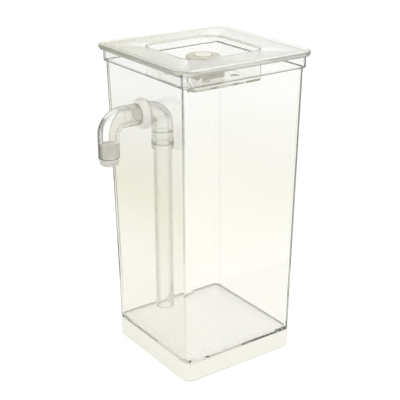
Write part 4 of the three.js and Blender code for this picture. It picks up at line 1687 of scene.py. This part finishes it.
    def gasket_ring(self) -> Shell:
        """Makes the washer between the floor and the lens.

        Returns:
            The washer's shell.
        """
        top = -self.lid.well_floor
        low = top - self.gasket
        inner = self.spigot + FIT_GAP
        seam = (inner, top - self.gasket / 2)
        corners = [seam, (inner, low), (self.lens, low), (self.lens, top), (inner, top), seam]
        return self.at_floor(turned(softened(corners, self.softness / 2)))

    def cells(self, rows: CopyRow) -> Shell:
        """Makes the two button cells, each a cap in a can.

        Args:
            rows: The tree that sets copies in a row.

        Returns:
            Both cells as one shell.
        """
        low, high = self.cell_bottom, self.cell_bottom + self.cell_height
        shoulder = high - self.cell_shoulder
        cap = self.cell - self.cell_step
        corners = [(0, low), (self.cell, low), (self.cell, shoulder), (cap, shoulder), (cap, high)]
        can = turned(self.softly([*corners, (0, high)]))
        start = (-self.cell_spacing / 2, -self.cell_offset, self.lid.floor)
        return rows.copies(can, Finish.STEEL, 2, start, (self.cell_spacing, 0, 0))

    def build(self, rows: CopyRow, frame: dict) -> None:
        """Makes and dresses the lamp, and finishes the nodes that stay as they are.

        Args:
            rows: The tree that sets copies in a row.
        """
        lid, drawer = Body.LID, Body.DRAWER
        housing, button, tray = self.housing(), self.button_cap(), self.drawer()
        dress("lamp_shell", housing, Finish.LAMP, lid, Slot.LAMP_GREY, "lamp_housing")
        ivory = Slot.BUTTON_IVORY
        dress("ivory_button", button, Finish.BUTTON, Body.BUTTON, ivory, "lamp_button")
        dress("brown_drawer", tray, Finish.DRAWER, drawer, Slot.DRAWER_BROWN, "battery_drawer")
        dress("clear_lens", self.lens_cap(), Finish.PIPE, lid, Slot.CLEAR, "light_lens")
        dress("lens_gasket", self.gasket_ring(), Finish.RUBBER, lid, Slot.RUBBER, "lamp_gasket")
        steel = Finish.STEEL
        cells, nodes = self.cells(rows), ("button_cell_left", "button_cell_right")
        dress("steel_cells", cells, steel, drawer, Slot.STEEL, *nodes)
        kept = {
            "lamp_base": Finish.LAMP, "lamp_board": Finish.BOARD, "led": Finish.RESIN,
            "push_switch": Finish.BLACK, "led_resistor": Finish.BLACK, "cell_bridge": steel,
            "cell_contact_left": steel, "cell_contact_right": steel,
            "lamp_screw_left": steel, "lamp_screw_right": steel,
        }
        for node, finish in kept.items():
            materials = frame["nodes"][node].data.materials
            materials.clear()
            materials.append(finish.material)
            LOG.info("%s: kept with %s", node, finish.value.name)


# Stage


@dataclass(frozen=True)
class SoftLamp:
    """A square soft lamp. Its place and side are in metres and its power is in watts."""

    name: str
    place: Point
    side: float
    power: float
    colour: Colour

    def hang(self, aim: Point) -> None:
        """Adds the lamp.

        Args:
            aim: The point that it faces.
        """
        data = bpy.data.lights.new(self.name, "AREA")
        data.shape, data.size = "SQUARE", self.side
        data.energy, data.color = self.power, self.colour
        lamp = added(self.name, data)
        lamp.location = self.place
        facing = Vector(aim) - Vector(self.place)
        lamp.rotation_euler = facing.to_track_quat("-Z", "Y").to_euler()


@dataclass(frozen=True)
class Studio:
    """The floor, the lights and the camera."""

    eye: Point = (-402.97, -564.85, 394.45)
    right: Point = (0.81562, -0.57858, -0.00249)
    up: Point = (0.21452, 0.29841, 0.93002)
    lens: float = 87.25
    sensor: float = 36.0
    near: float = 0.01
    floor_side: float = 60.0
    floor_clouds: Cloud = Cloud(3.0)
    floor_dark: Colour = (0.80, 0.80, 0.79)
    floor_light: Colour = (0.83, 0.83, 0.82)
    floor_roughness: float = 0.9
    glow: float = 0.27
    ambient: float = 0.85
    surround: tuple[tuple[float, float], ...] = ((0.04, 0.5), (0.30, 1.0), (0.74, 1.0), (0.97, 0.6))
    aim: Point = (0, 0, 0.12)
    lamps: tuple[SoftLamp, ...] = (
        SoftLamp("key", (1.1, -0.9, 1.5), 2.4, 13.3, (1.0, 0.985, 0.955)),
        SoftLamp("fill", (-1.6, -0.5, 0.9), 1.4, 7.5, (1.0, 0.985, 0.94)),
    )
    bounces: int = 40

    def camera(self) -> None:
        """Sets the camera where the photograph was taken from."""
        data = bpy.data.cameras.new("camera")
        data.lens, data.sensor_width, data.clip_start = self.lens, self.sensor, self.near
        camera = added("camera", data)
        right, up = Vector(self.right).normalized(), Vector(self.up).normalized()
        back = right.cross(up).normalized()
        turn = Matrix((right, back.cross(right), back)).transposed().to_4x4()
        camera.matrix_world = Matrix.Translation(Vector(self.eye) * MM) @ turn
        bpy.context.scene.camera = camera

    def seen_ray(self, sheet: Sheet) -> Signal:
        """Tells rays that the camera sees from rays that only light the scene.

        Args:
            sheet: The sheet to work on.

        Returns:
            1 where the camera sees a surface, straight or through gloss and glass, and else 0.
        """
        kinds = ("Is Camera Ray", "Is Glossy Ray", "Is Transmission Ray")
        rays = [sheet.node("ShaderNodeLightPath", {}, {}, kind) for kind in kinds]
        return rays[0].or_larger(rays[1]).or_larger(rays[2])

    def world(self) -> None:
        """Lights the scene softly from all round, and shows white behind it."""
        world = bpy.data.worlds.new("studio")
        bpy.context.scene.world = world
        sheet = Sheet(world)
        place = sheet.node("ShaderNodeTexCoord", {}, {}, "Generated")
        axes = {0: place, 1: Vector(self.right).normalized()}
        across = sheet.node("ShaderNodeVectorMath", {"operation": "DOT_PRODUCT"}, axes, "Value")
        share = sheet.node("ShaderNodeMapRange", {}, {"Value": across, "From Min": -1.0})
        stops = [(where, (grey, grey, grey)) for where, grey in self.surround]
        sides = sheet.node("ShaderNodeValToRGB", {"stops": stops, "easing": "EASE"}, {0: share})
        limits = {"Value": self.seen_ray(sheet), "To Min": self.ambient, "To Max": sides}
        background = sheet.tree.nodes["Background"]
        background.inputs["Color"].default_value = (1, 1, 1, 1)
        sheet.feed(background.inputs["Strength"], sheet.node("ShaderNodeMapRange", {}, limits))

    def floor(self) -> None:
        """Adds a pale floor that looks white and keeps the tank's shadow."""
        half = self.floor_side / 2
        mesh = bpy.data.meshes.new("floor")
        corners = [(-half, -half, 0), (half, -half, 0), (half, half, 0), (-half, half, 0)]
        mesh.from_pydata(corners, [], [(0, 1, 2, 3)])
        sheet = Surface("pale floor")
        clouds = sheet.noise(self.floor_clouds)
        sheet.set(
            Base_Color=sheet.blended(clouds, self.floor_dark, self.floor_light),
            Roughness=self.floor_roughness,
            Specular_IOR_Level=0.0,
            Emission_Color=(1, 1, 1, 1),
            Emission_Strength=self.seen_ray(sheet) * self.glow,
        )
        mesh.materials.append(sheet.material)
        added("pale_floor", mesh)

    def build(self) -> None:
        """Sets the whole stage."""
        scene = bpy.context.scene
        scene.view_settings.view_transform = "Standard"
        for kind in ("max", "transmission", "glossy", "transparent_max"):
            setattr(scene.cycles, f"{kind}_bounces", self.bounces)
        scene.cycles.blur_glossy = 0.0
        self.world()
        self.floor()
        for lamp in self.lamps:
            lamp.hang(self.aim)
        self.camera()


def main() -> None:
    """Builds the tank around its frame, piece by piece."""
    logging.basicConfig(level=logging.INFO, format="%(name)s %(message)s")
    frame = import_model()
    rows = CopyRow()
    tank = Tank()
    lid = Lid(tank)
    tank.build(rows)
    lid.build()
    Siphon(tank).build()
    Lamp(lid).build(rows, frame)
    Studio().build()


if __name__ == "__main__":
    main()
